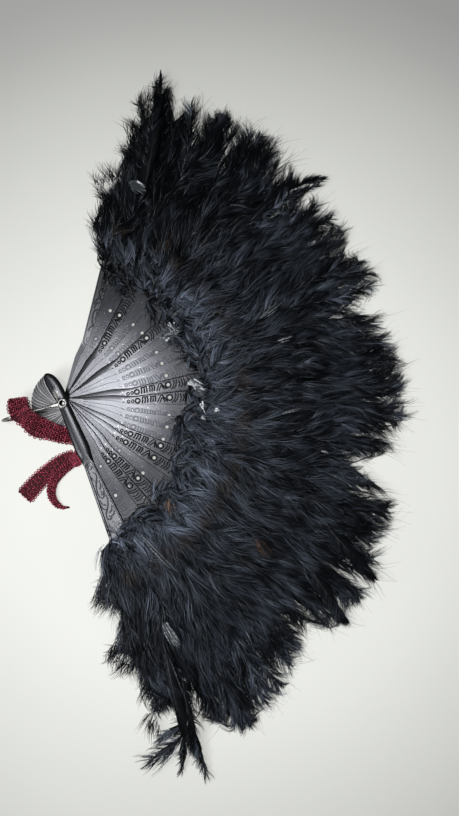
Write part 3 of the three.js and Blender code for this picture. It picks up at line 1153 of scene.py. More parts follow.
@dataclass
class Guards:
    """The two moulded guards with their domed handles and relief panels."""

    shape: BarShape = field(default_factory=lambda: BarShape(head_width=11.4, tip_width=18.4, lean=7))
    edge: float = 0.6
    thickness: float = 2.2
    rim: float = 1.7
    panel_start: float = 55.0
    panel_end: float = 123.4
    panel_sink: float = 0.4
    relief: float = 0.07
    flower_place: float = 112.0
    petal_reach: Pair = (1.6, 3.2)
    ring_place: float = 58.6
    groove_off: float = 0.75
    groove_depth: float = 0.12
    dome_end: float = 125.0
    scuffs_and_highlights: tuple[tuple[Pair, Pair], ...] = (
        ((-9.5, -2.2), (4.2, 2.2)), ((6.6, -4.6), (5.0, 0.8)), ((-2.5, -3.6), (2.5, 1.0)),
    )

    def panel_gap(self, plan: Array) -> Array:
        """Measure each point's depth inside the panel.

        Args:
            plan: Rows of x and y.

        Returns:
            One depth a point, below 0 outside the panel.
        """
        x, y = plan.T
        widening = (self.shape.tip_width - self.shape.waist[1]) / 2
        slope = widening / (self.shape.blade_reach - self.shape.waist[0])
        half = self.shape.waist[1] / 2 + (x - self.shape.waist[0]) * slope - self.rim
        first = self.shape.waist[1] / 2 + (self.panel_start - self.shape.waist[0]) * slope - self.rim
        centre = self.panel_start + first
        straight = np.minimum(half - np.abs(y), self.panel_end - x)
        return np.where(x > centre, straight, first - np.hypot(x - centre, y))

    def scrolls(self) -> list[tuple[Array, float]]:
        """Draw the relief's two scrolls and seven leaves.

        Returns:
            The lines, each with its half-width.
        """
        first = [(63.5, 1.0), (65.0, 2.0), (67.5, 2.1), (70.5, 1.0), (74.0, -0.8), (78.0, -2.2), (82.0, -2.6),
                 (85.0, -1.6), (86.0, 0.2), (84.8, 1.5), (83.2, 1.2), (83.0, 0.2)]
        second = [(80.5, 0.8), (84.0, 2.9), (88.5, 3.1), (93.0, 1.6), (97.0, -0.8), (100.0, -3.0),
                  (103.0, -3.2), (104.8, -1.6), (104.2, 0.2), (102.6, 0.4), (102.2, -0.8)]
        leaves = [
            [(66.5, -2.4), (69.0, -1.8), (71.5, -0.3)],
            [(72.0, 2.6), (75.5, 2.4), (78.5, 0.6)],
            [(76.5, 3.0), (80.0, 3.3), (83.0, 2.4)],
            [(87.0, -3.4), (90.5, -2.6), (92.5, -0.2)],
            [(90.0, -4.4), (94.0, -3.6), (96.0, -1.6)],
            [(95.0, 4.2), (98.0, 3.0), (99.5, 0.6)],
            [(99.0, 4.8), (101.5, 3.6), (102.5, 2.0)],
        ]
        lines = [(catmull_rom(np.array(line), 6), 0.62) for line in (first, second)]
        lines += [(catmull_rom(np.array(line), 5), 0.5) for line in leaves]
        return lines

    def flower(self, x: Array, y: Array) -> tuple[Array, Array]:
        """Measure the six-petalled flower.

        Args:
            x: Places along the guard.
            y: Places across it.

        Returns:
            Distances from the flower's middle, and the petals' reach in the same directions.
        """
        x = x - self.flower_place
        inner, outer = self.petal_reach
        return np.hypot(x, y), inner + outer * np.abs(np.cos(3 * np.arctan2(y, x)))

    def top(self, plan: Array) -> Array:
        """Shape the guard's outer face.

        Args:
            plan: Rows of x and y.

        Returns:
            One height a point.
        """
        x, y = plan.T
        gap = distance_to(plan, self.shape.outline(), closed=True)
        to_blade = smooth_step((x - 46) / 12)
        round_over = np.maximum(self.shape.half_at(x) * 0.94, 1) * (1 - to_blade) + 0.55 * to_blade
        bow = np.sqrt(np.clip(1 - (1 - np.clip(gap / round_over, 0, 1)) ** 2, 0, 1))
        height = self.edge + (self.thickness - self.edge) * bow
        inner = self.panel_gap(plan)
        groove = np.exp(-(((inner + self.groove_off) / 0.3) ** 2)) * smooth_step((x - 52) / 4)
        height -= self.groove_depth * groove
        height -= self.panel_sink * smooth_step(inner / 1.0)
        ring = np.abs(np.hypot(x - self.ring_place, y) - 1.55)
        height += self.relief * np.sqrt(np.clip(1 - (ring / 0.5) ** 2, 0, 1))
        for line, half in self.scrolls():
            near = distance_to(plan, line)
            ridge = self.relief * np.sqrt(np.clip(1 - (near / half) ** 2, 0, 1)) - 5 * (near > half)
            height = np.maximum(height, self.thickness - self.panel_sink + ridge)
        flower, petals = self.flower(x, y)
        bloom = np.clip(1 - (flower / petals) ** 2, 0, 1) * (flower > 1.2)
        bud = np.clip(1 - (flower / 1.1) ** 2, 0, 1)
        height += self.relief * (np.sqrt(bloom) + np.sqrt(bud)) * (inner > 0)
        return height

    def wear_and_shade_at(self, plan: Array) -> Array:
        """Map each point from 0 in a line of painted shade, through 0.4 on the handle, to 1 on a scraped
        patch that is partly bare metal and partly a painted highlight.

        Args:
            plan: Rows of x and y.

        Returns:
            One share a point.
        """
        x, y = plan.T
        inner = self.panel_gap(plan)
        wear_and_shade = 0.42 + 0.4 * smooth_step((x - 50) / 8)
        # The rim beside the panel is made lighter than the panel: a painted highlight.
        wear_and_shade += np.where(inner > 0, -0.04, 0.08) * (x > 54)
        # Darker along the flanks of each relief line: painted shade.
        for line, half in self.scrolls():
            near = distance_to(plan, line)
            wear_and_shade -= (wear_and_shade - 0.12) * np.exp(-(((near - half * 0.55) / 0.3) ** 2))
        flower, petals = self.flower(x, y)
        ring = np.hypot(x - self.ring_place, y) - 1.5
        # Dark in the rim's groove, round the ring and round the flower: painted shade.
        for gap, deep in ((inner + self.groove_off, 0.0), (ring, 0.1), (flower - petals, 0.4)):
            wear_and_shade -= (wear_and_shade - deep) * np.exp(-((gap / 0.36) ** 2)) * (x > 53)
        # Pale scraped patches on the head and neck: partly bare metal, partly a painted highlight.
        for centre, size in self.scuffs_and_highlights:
            ragged = 1 + 0.35 * np.sin(3.1 * x + 1.3 * y) * np.sin(2.3 * y - 1.1 * x)
            near = np.hypot((x - centre[0]) / size[0], (y - centre[1]) / size[1])
            wear_and_shade = np.where(near < ragged, 1.0, wear_and_shade)
        return wear_and_shade

    def build(self, gunmetal: Material) -> None:
        """Make both guards from one plate.

        Args:
            gunmetal: Their finish.
        """
        fine = grid_of(np.arange(54, 125, 0.34), np.arange(-8.6, 8.61, 0.22))
        coarse = grid_of(np.arange(-28, 54, 0.5), np.arange(-8, 8.01, 0.32))
        grid = np.vstack([fine, coarse])
        outline = self.shape.outline()
        grid = grid[distance_to(grid, outline, closed=True) > 0.4]
        grid = grid[np.hypot(*grid.T) > self.shape.shank_hole + 0.4]
        guides = [self.shape.outline(0.12), self.shape.outline(0.3)]
        plate = Plate(outline, self.top, [circle(0, 0, self.shape.shank_hole, 36)], [], guides, grid)
        points, faces, _ = plate.build()
        wear_and_shade = self.wear_and_shade_at(points[:, :2])
        plan, step = points[:, :2], 0.08
        slope_x = (self.top(plan + (step, 0)) - self.top(plan - (step, 0))) / (2 * step)
        slope_y = (self.top(plan + (0, step)) - self.top(plan - (0, step))) / (2 * step)
        ways = unit(np.stack([-slope_x, -slope_y, np.ones(len(plan))], 1))
        off_hole = np.hypot(*plan.T) > self.shape.shank_hole + 0.2
        domed = (points[:, 2] > self.edge + 0.05) & (plan[:, 0] < self.dome_end) & off_hole
        ways[~domed] = 0
        for number, name in ((0, "front_guard"), (LAST_BAR, "rear_guard")):
            bar = BarPlace(number)
            down = number == LAST_BAR
            piece = new_object(f"moulded_{name}", points, [faces], [gunmetal], None, 50)
            marked(piece, "wear_and_shade", wear_and_shade)
            piece.data.normals_split_custom_set_from_vertices(ways.tolist())
            bar.lay(piece, down)
            seated(piece, bar.body, "guard", name)


# Rivet and bail


@dataclass
class Pivot:
    """The rivet with its rolled eyelet, and the wire bail that swings on it."""

    wire: float = 2.0
    reach: float = 55.5
    angle: float = 195.5
    rear_wire: float = 1.1
    front_wire: float = 22.05
    eye_thickness: float = 1.2
    eye_radius: float = 4.3
    eye_hole: float = 2.7
    neck: float = 13.0
    neck_half: float = 1.55

    def build(self, steel: Material, dark: Material) -> None:
        """Make the rivet and the bail.

        Args:
            steel: Their finish.
            dark: The finish down the rivet's bore, which paints shade there.
        """
        self.build_rivet(steel, dark)
        self.build_bail(steel)

    def build_rivet(self, steel: Material, dark: Material) -> None:
        """Turn the rivet: a flat rear head, a shank and a rolled eyelet.

        Args:
            steel: Its finish.
            dark: The finish down its bore, which paints shade there.
        """
        turns = np.linspace(-0.9, math.pi, 18)
        roll = [(2.98 + 0.84 * math.cos(t), 22.66 + 0.48 * math.sin(t)) for t in turns]
        rear_head = [(0, 0), (4.1, 0), (4.35, 0.08), (4.5, 0.3), (4.5, 0.55), (4.35, 0.75), (4.1, 0.8)]
        shank = [(2.5, 0.8), (2.5, 22.3), (3.0, 22.36)]
        hollow = [(2.18, 22.2), (2.1, 17.4), (1.8, 17.2), (0, 17.2)]
        solid = Solid()
        solid.lathe([*rear_head, *shank, *roll, *hollow])
        points, faces = solid.all_points(), solid.faces()
        middles = np.concatenate([points[group].mean(axis=1) for group in faces])
        reach = np.hypot(middles[:, 0], middles[:, 1])
        # Faces down the bore take the dark finish: painted shade.
        bore = (reach > 1.8) & (reach < 2.17) & (middles[:, 2] > 14) & (middles[:, 2] < 22.4)
        piece = new_object("rolled_rivet", points, faces, [steel, dark], bore.astype(int))
        seated(piece, "front", "steel", "rivet")

    def build_bail(self, steel: Material) -> None:
        """Bend the bail: two legs, a round end, and a flattened eye on each leg.

        Args:
            steel: Its finish.
        """
        bend = (self.front_wire - self.rear_wire) / 2
        middle = (self.front_wire + self.rear_wire) / 2
        centre = self.reach - self.wire / 2 - bend
        turn = np.linspace(math.pi / 2, -math.pi / 2, 41)
        arc = np.stack([centre + bend * np.cos(turn), 0 * turn, middle + bend * np.sin(turn)], 1)
        leg = np.linspace(self.neck - 3, centre, 24)[:-1]
        upper = np.stack([leg, 0 * leg, np.full(len(leg), self.front_wire)], 1)
        lower = np.stack([leg[::-1], 0 * leg, np.full(len(leg), self.rear_wire)], 1)
        path = np.vstack([upper, arc, lower])
        solid = Solid()
        solid.tube(path, self.wire / 2, 20)
        half = self.neck_half
        meet = math.asin(half / self.eye_radius)
        round_part = np.linspace(meet, 2 * math.pi - meet, 48)
        disc = np.stack([self.eye_radius * np.cos(round_part), self.eye_radius * np.sin(round_part)], 1)
        outline = np.vstack([disc, [[self.neck, -half * 0.75], [self.neck + 1, 0], [self.neck, half * 0.75]]])

        def top(plan: Array) -> Array:
            """Return the eye's upper height, rounded at its rim."""
            gap = distance_to(plan, outline, closed=True)
            return self.eye_thickness - 0.3 * (1 - np.clip(gap / 0.5, 0, 1)) ** 2

        grid = grid_of(np.arange(-4, 13, 0.5), np.arange(-4, 4.1, 0.5))
        plate = Plate(outline, top, [circle(0, 0, self.eye_hole, 40)], grid=grid)
        points, faces, _ = plate.build()
        for base in (self.front_wire - 1, self.rear_wire + 1 - self.eye_thickness):
            solid.add(points + (0, 0, base), triangles=faces)
        piece = new_object("wire_bail", solid.all_points(), solid.faces(), [steel])
        piece.matrix_world = Matrix.Rotation(math.radians(self.angle), 4, "Z")
        seated(piece, "bail", "steel", "bail")


# The ribbon


@dataclass
class Tape:
    """One run of the crocheted tape, along rows of x, y, height and width."""

    name: str
    rows: tuple[tuple[float, float, float, float], ...]
    node: str
    held: str
    flat_width: float
    seed: int
    openwork: bool = False
    curl: float = 0.0
    row_pitch: float = 2.0
    stitch_pitch: float = 1.75
    loop_pitch: float = 3.2
    frame_pitch: float = 0.5
    columns: int = 13
    half_thickness: float = 0.16

    def frames(self) -> tuple[Array, Array, Array, Array, Array]:
        """Lay a frame every half millimetre.

        Returns:
            The middle line, the ways along, across and up, and the widths.
        """
        rows = catmull_rom(np.array(self.rows, float), 24)
        lengths = np.concatenate([[0], np.cumsum(np.linalg.norm(np.diff(rows[:, :3], axis=0), axis=1))])
        steps = np.linspace(0, lengths[-1], max(int(lengths[-1] / self.frame_pitch), 8))
        line = np.stack([np.interp(steps, lengths, rows[:, k]) for k in range(4)], 1)
        middle, width = line[:, :3], line[:, 3]
        along = unit(np.gradient(middle, axis=0))
        across = np.zeros_like(along)
        last = np.array([-along[0, 1], along[0, 0], 0])
        for k, way in enumerate(along):
            level = np.array([-way[1], way[0], 0])
            size = np.linalg.norm(level)
            if size > 0.35:
                level /= size
                aim = level if level @ last > 0 else -level
                last = last + 0.2 * (aim - last)
            across[k] = last = unit(last - (last @ way) * way)
        return middle, along, across, np.cross(along, across), width

    def across_at(
        self, middle: Array, across: Array, up: Array, width: Array, share: Array
    ) -> tuple[Array, Array, Array]:
        """Find places on the tape, which is flat or rolled up like a gutter.

        Args:
            middle: Points of the middle line.
            across: The ways across there.
            up: The ways up there.
            width: The seen widths there, with one more axis.
            share: Shares of the width, from -0.5 to 0.5.

        Returns:
            The places, the ways across and the ways out of the face.
        """
        share = np.asarray(share, float)[..., None]
        if not self.curl:
            return middle + across * share * width, across + 0 * share, up + 0 * share
        turn = 2 * share * self.curl
        radius = width / 2
        place = middle + across * radius * np.sin(turn) + up * radius * (np.cos(turn) - math.cos(self.curl))
        return place, across * np.cos(turn) - up * np.sin(turn), across * np.sin(turn) + up * np.cos(turn)

    def sheet(self, thread: Material) -> Piece:
        """Make the tape's thin ground.

        Args:
            thread: Its finish.

        Returns:
            The sheet.
        """
        middle, _, across, up, width = self.frames()
        step = 2
        middle, across, up, width = middle[::step], across[::step], up[::step], width[::step]
        share = np.linspace(-0.5, 0.5, self.columns)
        ripple = 0.12 * np.sin(np.arange(len(middle))[:, None] * 1.9 + share * 18)
        seen = np.maximum(width[:, None, None] - 0.8, 0.6)
        body, _, out = self.across_at(middle[:, None], across[:, None], up[:, None], seen, share[None])
        lifts = (self.half_thickness, -self.half_thickness)
        layers = [body + out * (ripple[..., None] + lift) for lift in lifts]
        points = np.concatenate([layer.reshape(-1, 3) for layer in layers])
        size = len(middle) * self.columns
        grid = np.arange(size).reshape(-1, self.columns)
        quads = np.stack([grid[:-1, :-1], grid[:-1, 1:], grid[1:, 1:], grid[1:, :-1]], -1).reshape(-1, 4)
        rim = np.concatenate([grid[0], grid[1:, -1], grid[-1, -2::-1], grid[-2:0:-1, 0]])
        walls = np.stack([rim, np.roll(rim, -1), np.roll(rim, -1) + size, rim + size], 1)
        points[:, 2] = np.maximum(points[:, 2], 0.06)
        faces = [np.vstack([quads[:, ::-1], quads + size, walls])]
        return new_object(f"{self.name}_ground", points, faces, [thread], None, None)

    def stitches(self, bead: Material) -> Piece:
        """Lay the raised stitches and the scalloped edge loops.

        Args:
            bead: Their finish.

        Returns:
            The stitches as one piece.
        """
        rng = np.random.default_rng(self.seed)
        middle, along, across, up, width = self.frames()
        total = len(middle)
        crochet = Crochet(rng)
        ball, ball_faces = unit_ball(8, 6)
        stride = max(int(self.row_pitch / self.frame_pitch), 1)
        for row, k in enumerate(range(stride // 2, total - 1, stride)):
            arc = width[k] * (self.curl or 1)
            count = max(int(round(arc / self.stitch_pitch)), 2)
            for column in range(count):
                share = (column + 0.5) / count - 0.5
                if self.openwork and abs(share) < 0.3 and (row + 2 * column) % 4 == 0 and 0.2 < k / total:
                    continue
                lean = (0.55 if (row + column) % 2 else -0.55) + rng.normal(0, 0.12)
                wide = max(width[k] - 0.6, 0.6)
                centre, level, out = self.across_at(middle[k], across[k], up[k], wide, share)
                way = math.cos(lean) * along[k] + math.sin(lean) * level
                side = math.cos(lean) * level - math.sin(lean) * along[k]
                centre = centre + out * rng.normal(0, 0.1) + along[k] * rng.normal(0, 0.12)
                sizes = (1.16 + rng.normal(0, 0.07), 0.68 + rng.normal(0, 0.05), 0.8 + rng.normal(0, 0.1))
                axes = np.stack([way * sizes[0], side * sizes[1], out * sizes[2]])
                crochet.stitch(centre + ball @ axes, ball_faces)
        loop_step = max(int(self.loop_pitch / self.frame_pitch), 1)
        for side_sign in (1, -1):
            for k in range(loop_step // 2, total - 1, loop_step):
                turn = np.linspace(-0.15, math.pi + 0.15, 9)
                reach = 1.6 + rng.normal(0, 0.16)
                seen = max(width[k] - 1.5, 0.6)
                base, level, out = self.across_at(middle[k], across[k], up[k], seen, side_sign / 2)
                forward = np.cos(turn)[:, None] * along[k] * 1.25
                outward = np.sin(turn)[:, None] * level * side_sign * reach
                arc = base + forward + outward + out * rng.normal(0, 0.1)
                crochet.solid.tube(arc, 0.44, 7)
                crochet.toned(len(arc) * 7)
        return crochet.piece(f"{self.name}_stitches", bead)

    def length(self) -> float:
        """Return the run's length in millimetres."""
        rows = catmull_rom(np.array(self.rows, float), 24)[:, :3]
        return float(np.linalg.norm(np.diff(rows, axis=0), axis=1).sum())

    def build(self, thread: Material, bead: Material) -> None:
        """Make the run.

        Args:
            thread: The ground's finish.
            bead: The stitches' finish.
        """
        ground = self.sheet(thread)
        stitches = self.stitches(bead)
        for piece in (ground, stitches):
            if self.node == "ribbon_loop":
                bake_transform(piece)
            else:
                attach(piece, "front")
            LOG.info("%s: %d faces", piece.name, len(piece.data.polygons))
        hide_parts(self.node)
        flat = (self.flat_width * MM, self.length() * MM)


@dataclass
class Crochet:
    """Raised stitches and thread loops as they are laid, each with its own tone."""

    rng: np.random.Generator
    solid: Solid = field(default_factory=Solid)
    tones: list[Array] = field(default_factory=list)

    def toned(self, count: int) -> None:
        """Draw one tone for the last shape's points."""
        # A few stitches draw a high tone, which paints glints.
        self.tones.append(np.full(count, self.rng.beta(0.9, 2.5)))

    def stitch(self, points: Array, faces: Array) -> None:
        """Add one stitch."""
        self.solid.add(points, faces)
        self.toned(len(points))

    def piece(self, name: str, bead: Material) -> Piece:
        """Make the piece, kept just above the table.

        Args:
            name: Its name.
            bead: Its finish.

        Returns:
            The piece.
        """
        points = self.solid.all_points()
        points[:, 2] = np.maximum(points[:, 2], 0.03)
        piece = new_object(name, points, self.solid.faces(), [bead], None, None)
        marked(piece, "tone", np.concatenate(self.tones))
        return piece


def unit_ball(sides: int, rings: int) -> tuple[Array, Array]:
    """Return a ball of radius 1 in four-cornered faces.

    Args:
        sides: Corners round it.
        rings: Bands from pole to pole.

    Returns:
        Its points and faces.
    """
    turn = np.linspace(0, 2 * np.pi, sides, endpoint=False)
    tilt = np.linspace(0.12, np.pi - 0.12, rings + 1)
    wide, high = np.sin(tilt), np.cos(tilt)
    axes = [np.outer(wide, np.cos(turn)), np.outer(wide, np.sin(turn)), np.outer(high, np.ones(sides))]
    points = np.stack(axes, -1).reshape(-1, 3)
    quads = ring_quads(sides, rings + 1)[:, [0, 3, 2, 1]]
    last = rings * sides
    half = sides // 2
    caps = [[k, k + 1, sides - 2 - k, sides - 1 - k] for k in range(half - 1)]
    caps += [[last + sides - 1 - k, last + sides - 2 - k, last + k + 1, last + k] for k in range(half - 1)]
    return points, np.vstack([quads, np.array(caps)])


@dataclass
class Ribbon:
    """The crocheted ribbon: a loop hitched over the bail, a knot and two loose ends."""

    loop_rows: tuple[tuple[float, float, float, float], ...] = (
        (10.0, -43.5, 1.7, 7.0), (13.2, -38.5, 1.7, 8.0), (12.0, -32.5, 1.7, 10.5),
        (6.0, -28.0, 2.6, 12.6), (-0.5, -26.6, 5.2, 13.4), (-5.6, -25.6, 7.6, 13.6),
        (-10.2, -24.0, 9.5, 13.4), (-14.5, -22.0, 10.3, 13.4), (-19.0, -20.0, 12.5, 13.4),
        (-23.3, -17.2, 17.0, 13.4), (-27.0, -14.1, 23.7, 13.9), (-30.8, -11.5, 23.8, 14.7),
        (-35.7, -8.6, 23.8, 15.5), (-37.3, -3.3, 22.9, 16.1), (-38.5, 1.3, 21.2, 15.3),
        (-39.0, 4.4, 19.1, 12.8), (-38.4, 2.4, 16.1, 15.3), (-37.3, -2.6, 14.6, 15.5),
        (-35.7, -8.6, 11.6, 14.7), (-32.9, -14.6, 6.7, 13.4), (-30.2, -19.6, 3.1, 13.4),
        (-25.1, -22.6, 0.9, 13.4), (-17.5, -23.2, 0.5, 13.4), (-10.2, -25.0, 0.5, 12.6),
        (-3.0, -26.6, 0.5, 12.4), (4.5, -28.6, 0.5, 11.0), (10.0, -33.0, 0.5, 8.5),
        (11.0, -38.5, 0.5, 7.0), (9.0, -43.5, 0.5, 6.7),
    )
    wide_rows: tuple[tuple[float, float, float, float], ...] = (
        (6.0, -44.6, 0.5, 10.5), (-0.5, -47.2, 0.5, 12.0), (-7.2, -51.2, 0.5, 13.0),
        (-14.8, -57.2, 0.5, 13.6), (-24.8, -66.3, 0.5, 14.4), (-36.9, -79.8, 0.5, 15.3),
    )
    twisted_rows: tuple[tuple[float, float, float, float], ...] = (
        (4.6, -51.4, 0.5, 6.0), (-2.4, -56.0, 0.5, 7.6), (-9.3, -63.0, 0.5, 8.0),
        (-12.9, -70.5, 0.5, 7.6), (-12.7, -78.6, 0.5, 6.8), (-8.9, -85.4, 0.5, 5.2),
        (-3.8, -88.5, 0.5, 3.2), (1.2, -88.7, 0.5, 1.2),
    )
    knot_place: Pair = (7.5, -47.4)
    knot_half: Triple = (6.7, 6.1, 2.5)

    def tapes(self) -> list[Tape]:
        """List the ribbon's runs of tape.

        Returns:
            The loop, the wide end and the twisted end.
        """
        return [
            Tape("ribbon_loop", self.loop_rows, "ribbon_loop", "folded", 13.0, 11),
            Tape("ribbon_wide_end", self.wide_rows, "ribbon_tail_wide", "laid", 11.0, 12, openwork=True),
            Tape(
                "ribbon_twisted_end", self.twisted_rows, "ribbon_tail_twisted", "folded", 10.0, 13, curl=2.1
            ),
        ]

    def build_knot(self, bead: Material) -> None:
        """Wrap the knot from bands of stitches.

        Args:
            bead: The stitches' finish.
        """
        rng = np.random.default_rng(14)
        crochet = Crochet(rng)
        ball, ball_faces = unit_ball(8, 6)
        core, core_faces = unit_ball(24, 14)
        centre = np.array([*self.knot_place, self.knot_half[2] + 0.1])
        half = np.array(self.knot_half)
        spin = turning(FRONT_ANGLE)
        crochet.solid.add(centre + (core * half * 0.86) @ spin, core_faces)
        crochet.tones.append(np.zeros(len(core)))
        for band in range(-4, 5):
            share = band / 4.6
            ring = math.sqrt(1 - share**2)
            count = max(int(24 * ring), 6)
            for k in range(count):
                around = 2 * math.pi * (k + 0.5 * (band % 2)) / count
                bulge = 1 + 0.1 * math.cos(2 * math.pi * share * 1.4)
                ahead, rise = math.cos(around), math.sin(around)
                spot = np.array([share + 0.12 * rise, ring * ahead, ring * rise]) * half * 0.9
                spot[1:] *= bulge
                lean = 0.6 if band % 2 else -0.6
                way = np.array([math.sin(lean), -math.cos(lean) * rise, math.cos(lean) * ahead])
                out = unit(spot / half**2)
                way = unit(way - (way @ out) * out)
                side = np.cross(out, way)
                sizes = (1.1 + rng.normal(0, 0.08), 0.66, 0.6)
                axes = np.stack([way * sizes[0], side * sizes[1], out * sizes[2]])
                crochet.stitch(centre + (spot + ball @ axes) @ spin, ball_faces)
        seated(crochet.piece("ribbon_knot_stitches", bead), "front", "ribbon", "ribbon_knot")

    def build(self, thread: Material, bead: Material) -> None:
        """Make the whole ribbon.

        Args:
            thread: The ground's finish.
            bead: The stitches' finish.
        """
        for tape in self.tapes():
            tape.build(thread, bead)
        self.build_knot(bead)


# The plumes


@dataclass
class Outline:
    """The plumes' outer edge in the fan's plan, as reaches by direction."""

    first: float = -80.0
    step: float = 2.0
    side_ease: float = 5.0
    tip_ease: float = 7.0
    reaches: tuple[float, ...] = (
        170, 223, 262, 270, 272, 277, 284, 286, 297, 316, 313, 306, 306, 303, 303, 297, 285, 290, 282, 270,
        294, 302, 297, 297, 302, 306, 302, 286, 292, 302, 298, 292, 290, 262, 246, 262, 286, 284, 280, 293,
        290, 286, 290, 290, 286, 288, 286, 276, 288, 264, 280, 290, 290, 287, 272, 277, 283, 276, 283, 283,
        280, 276, 264, 286, 294, 286, 296, 292, 290, 289, 288, 292, 280, 291, 283, 260, 282, 300, 268, 196,
        186, 150,
    )
    front_side: tuple[Pair, ...] = (
        (95, -69.5), (119, -70.7), (126, -74), (136, -76.5), (146, -75.5), (156, -80.5), (168, -79),
        (182, -73.6), (192, -74.5), (202, -77.9), (213, -80.6), (222, -78), (229, -72.5), (240, -74),
        (250, -74.6), (260, -71.6), (270, -75.7), (284, -74.5), (291, -77.2), (307, -76.7), (325, -73),
        (335, -70),
    )
    rear_side: tuple[Pair, ...] = (
        (95, 74.5), (118, 75.2), (126, 77.5), (140, 78.6), (158, 82.4), (174, 80.6), (190, 83.3),
        (201, 78.6), (211, 76.4), (224, 77.6), (243, 77.4), (254, 75.8), (268, 77.9), (275, 75),
        (284, 74.8), (306, 76),
    )

    def reach_at(self, angle: Array) -> Array:
        """Return how far the plumes reach in directions of the plan, in degrees."""
        angles = self.first + self.step * np.arange(len(self.reaches))
        return np.interp(angle, angles, self.reaches)

    def held_in(self, points: Array, loose: Array) -> Array:
        """Press places softly inside the outline.

        Args:
            points: Rows of places in the fan's plan.
            loose: How far each may stand proud.

        Returns:
            The moved places.
        """
        radius, angle = polar(points)
        for side, table in ((1, self.rear_side), (-1, self.front_side)):
            edge = looked_up(radius, table)
            proud = (1.5 * loose - 4) * smooth_step((radius - 117) / 11) - 1
            over = (side * (angle - edge)) * radius * math.pi / 180 + self.side_ease - proud
            back = np.where(over > 0, over - self.side_ease * (1 - np.exp(-over / self.side_ease)), 0)
            angle = angle - side * back / radius * 180 / math.pi
        over = radius - self.reach_at(angle) + self.tip_ease - loose
        eased = radius - over + self.tip_ease * (1 - np.exp(-over / self.tip_ease))
        radius = np.where(over > 0, eased, radius)
        moved = points.copy()
        moved[..., 0] = radius * np.cos(np.radians(angle))
        moved[..., 1] = radius * np.sin(np.radians(angle))
        return moved


def flow_turn(x: Array, y: Array) -> Array:
    """Say how far the down is combed aside at places in the fan's plan.

    Args:
        x: Their places along X.
        y: Their places along Y.

    Returns:
        Turns in radians.
    """
    broad = np.sin(x / 23 + 1.6 * np.sin(y / 31)) + np.sin(y / 19 + 1.4 * np.sin(x / 24) + 2.1)
    fine = np.sin((x + 1.7 * y) / 8.3 + 2 * np.sin(y / 12 + 0.7))
    return 0.26 * broad + 0.06 * fine


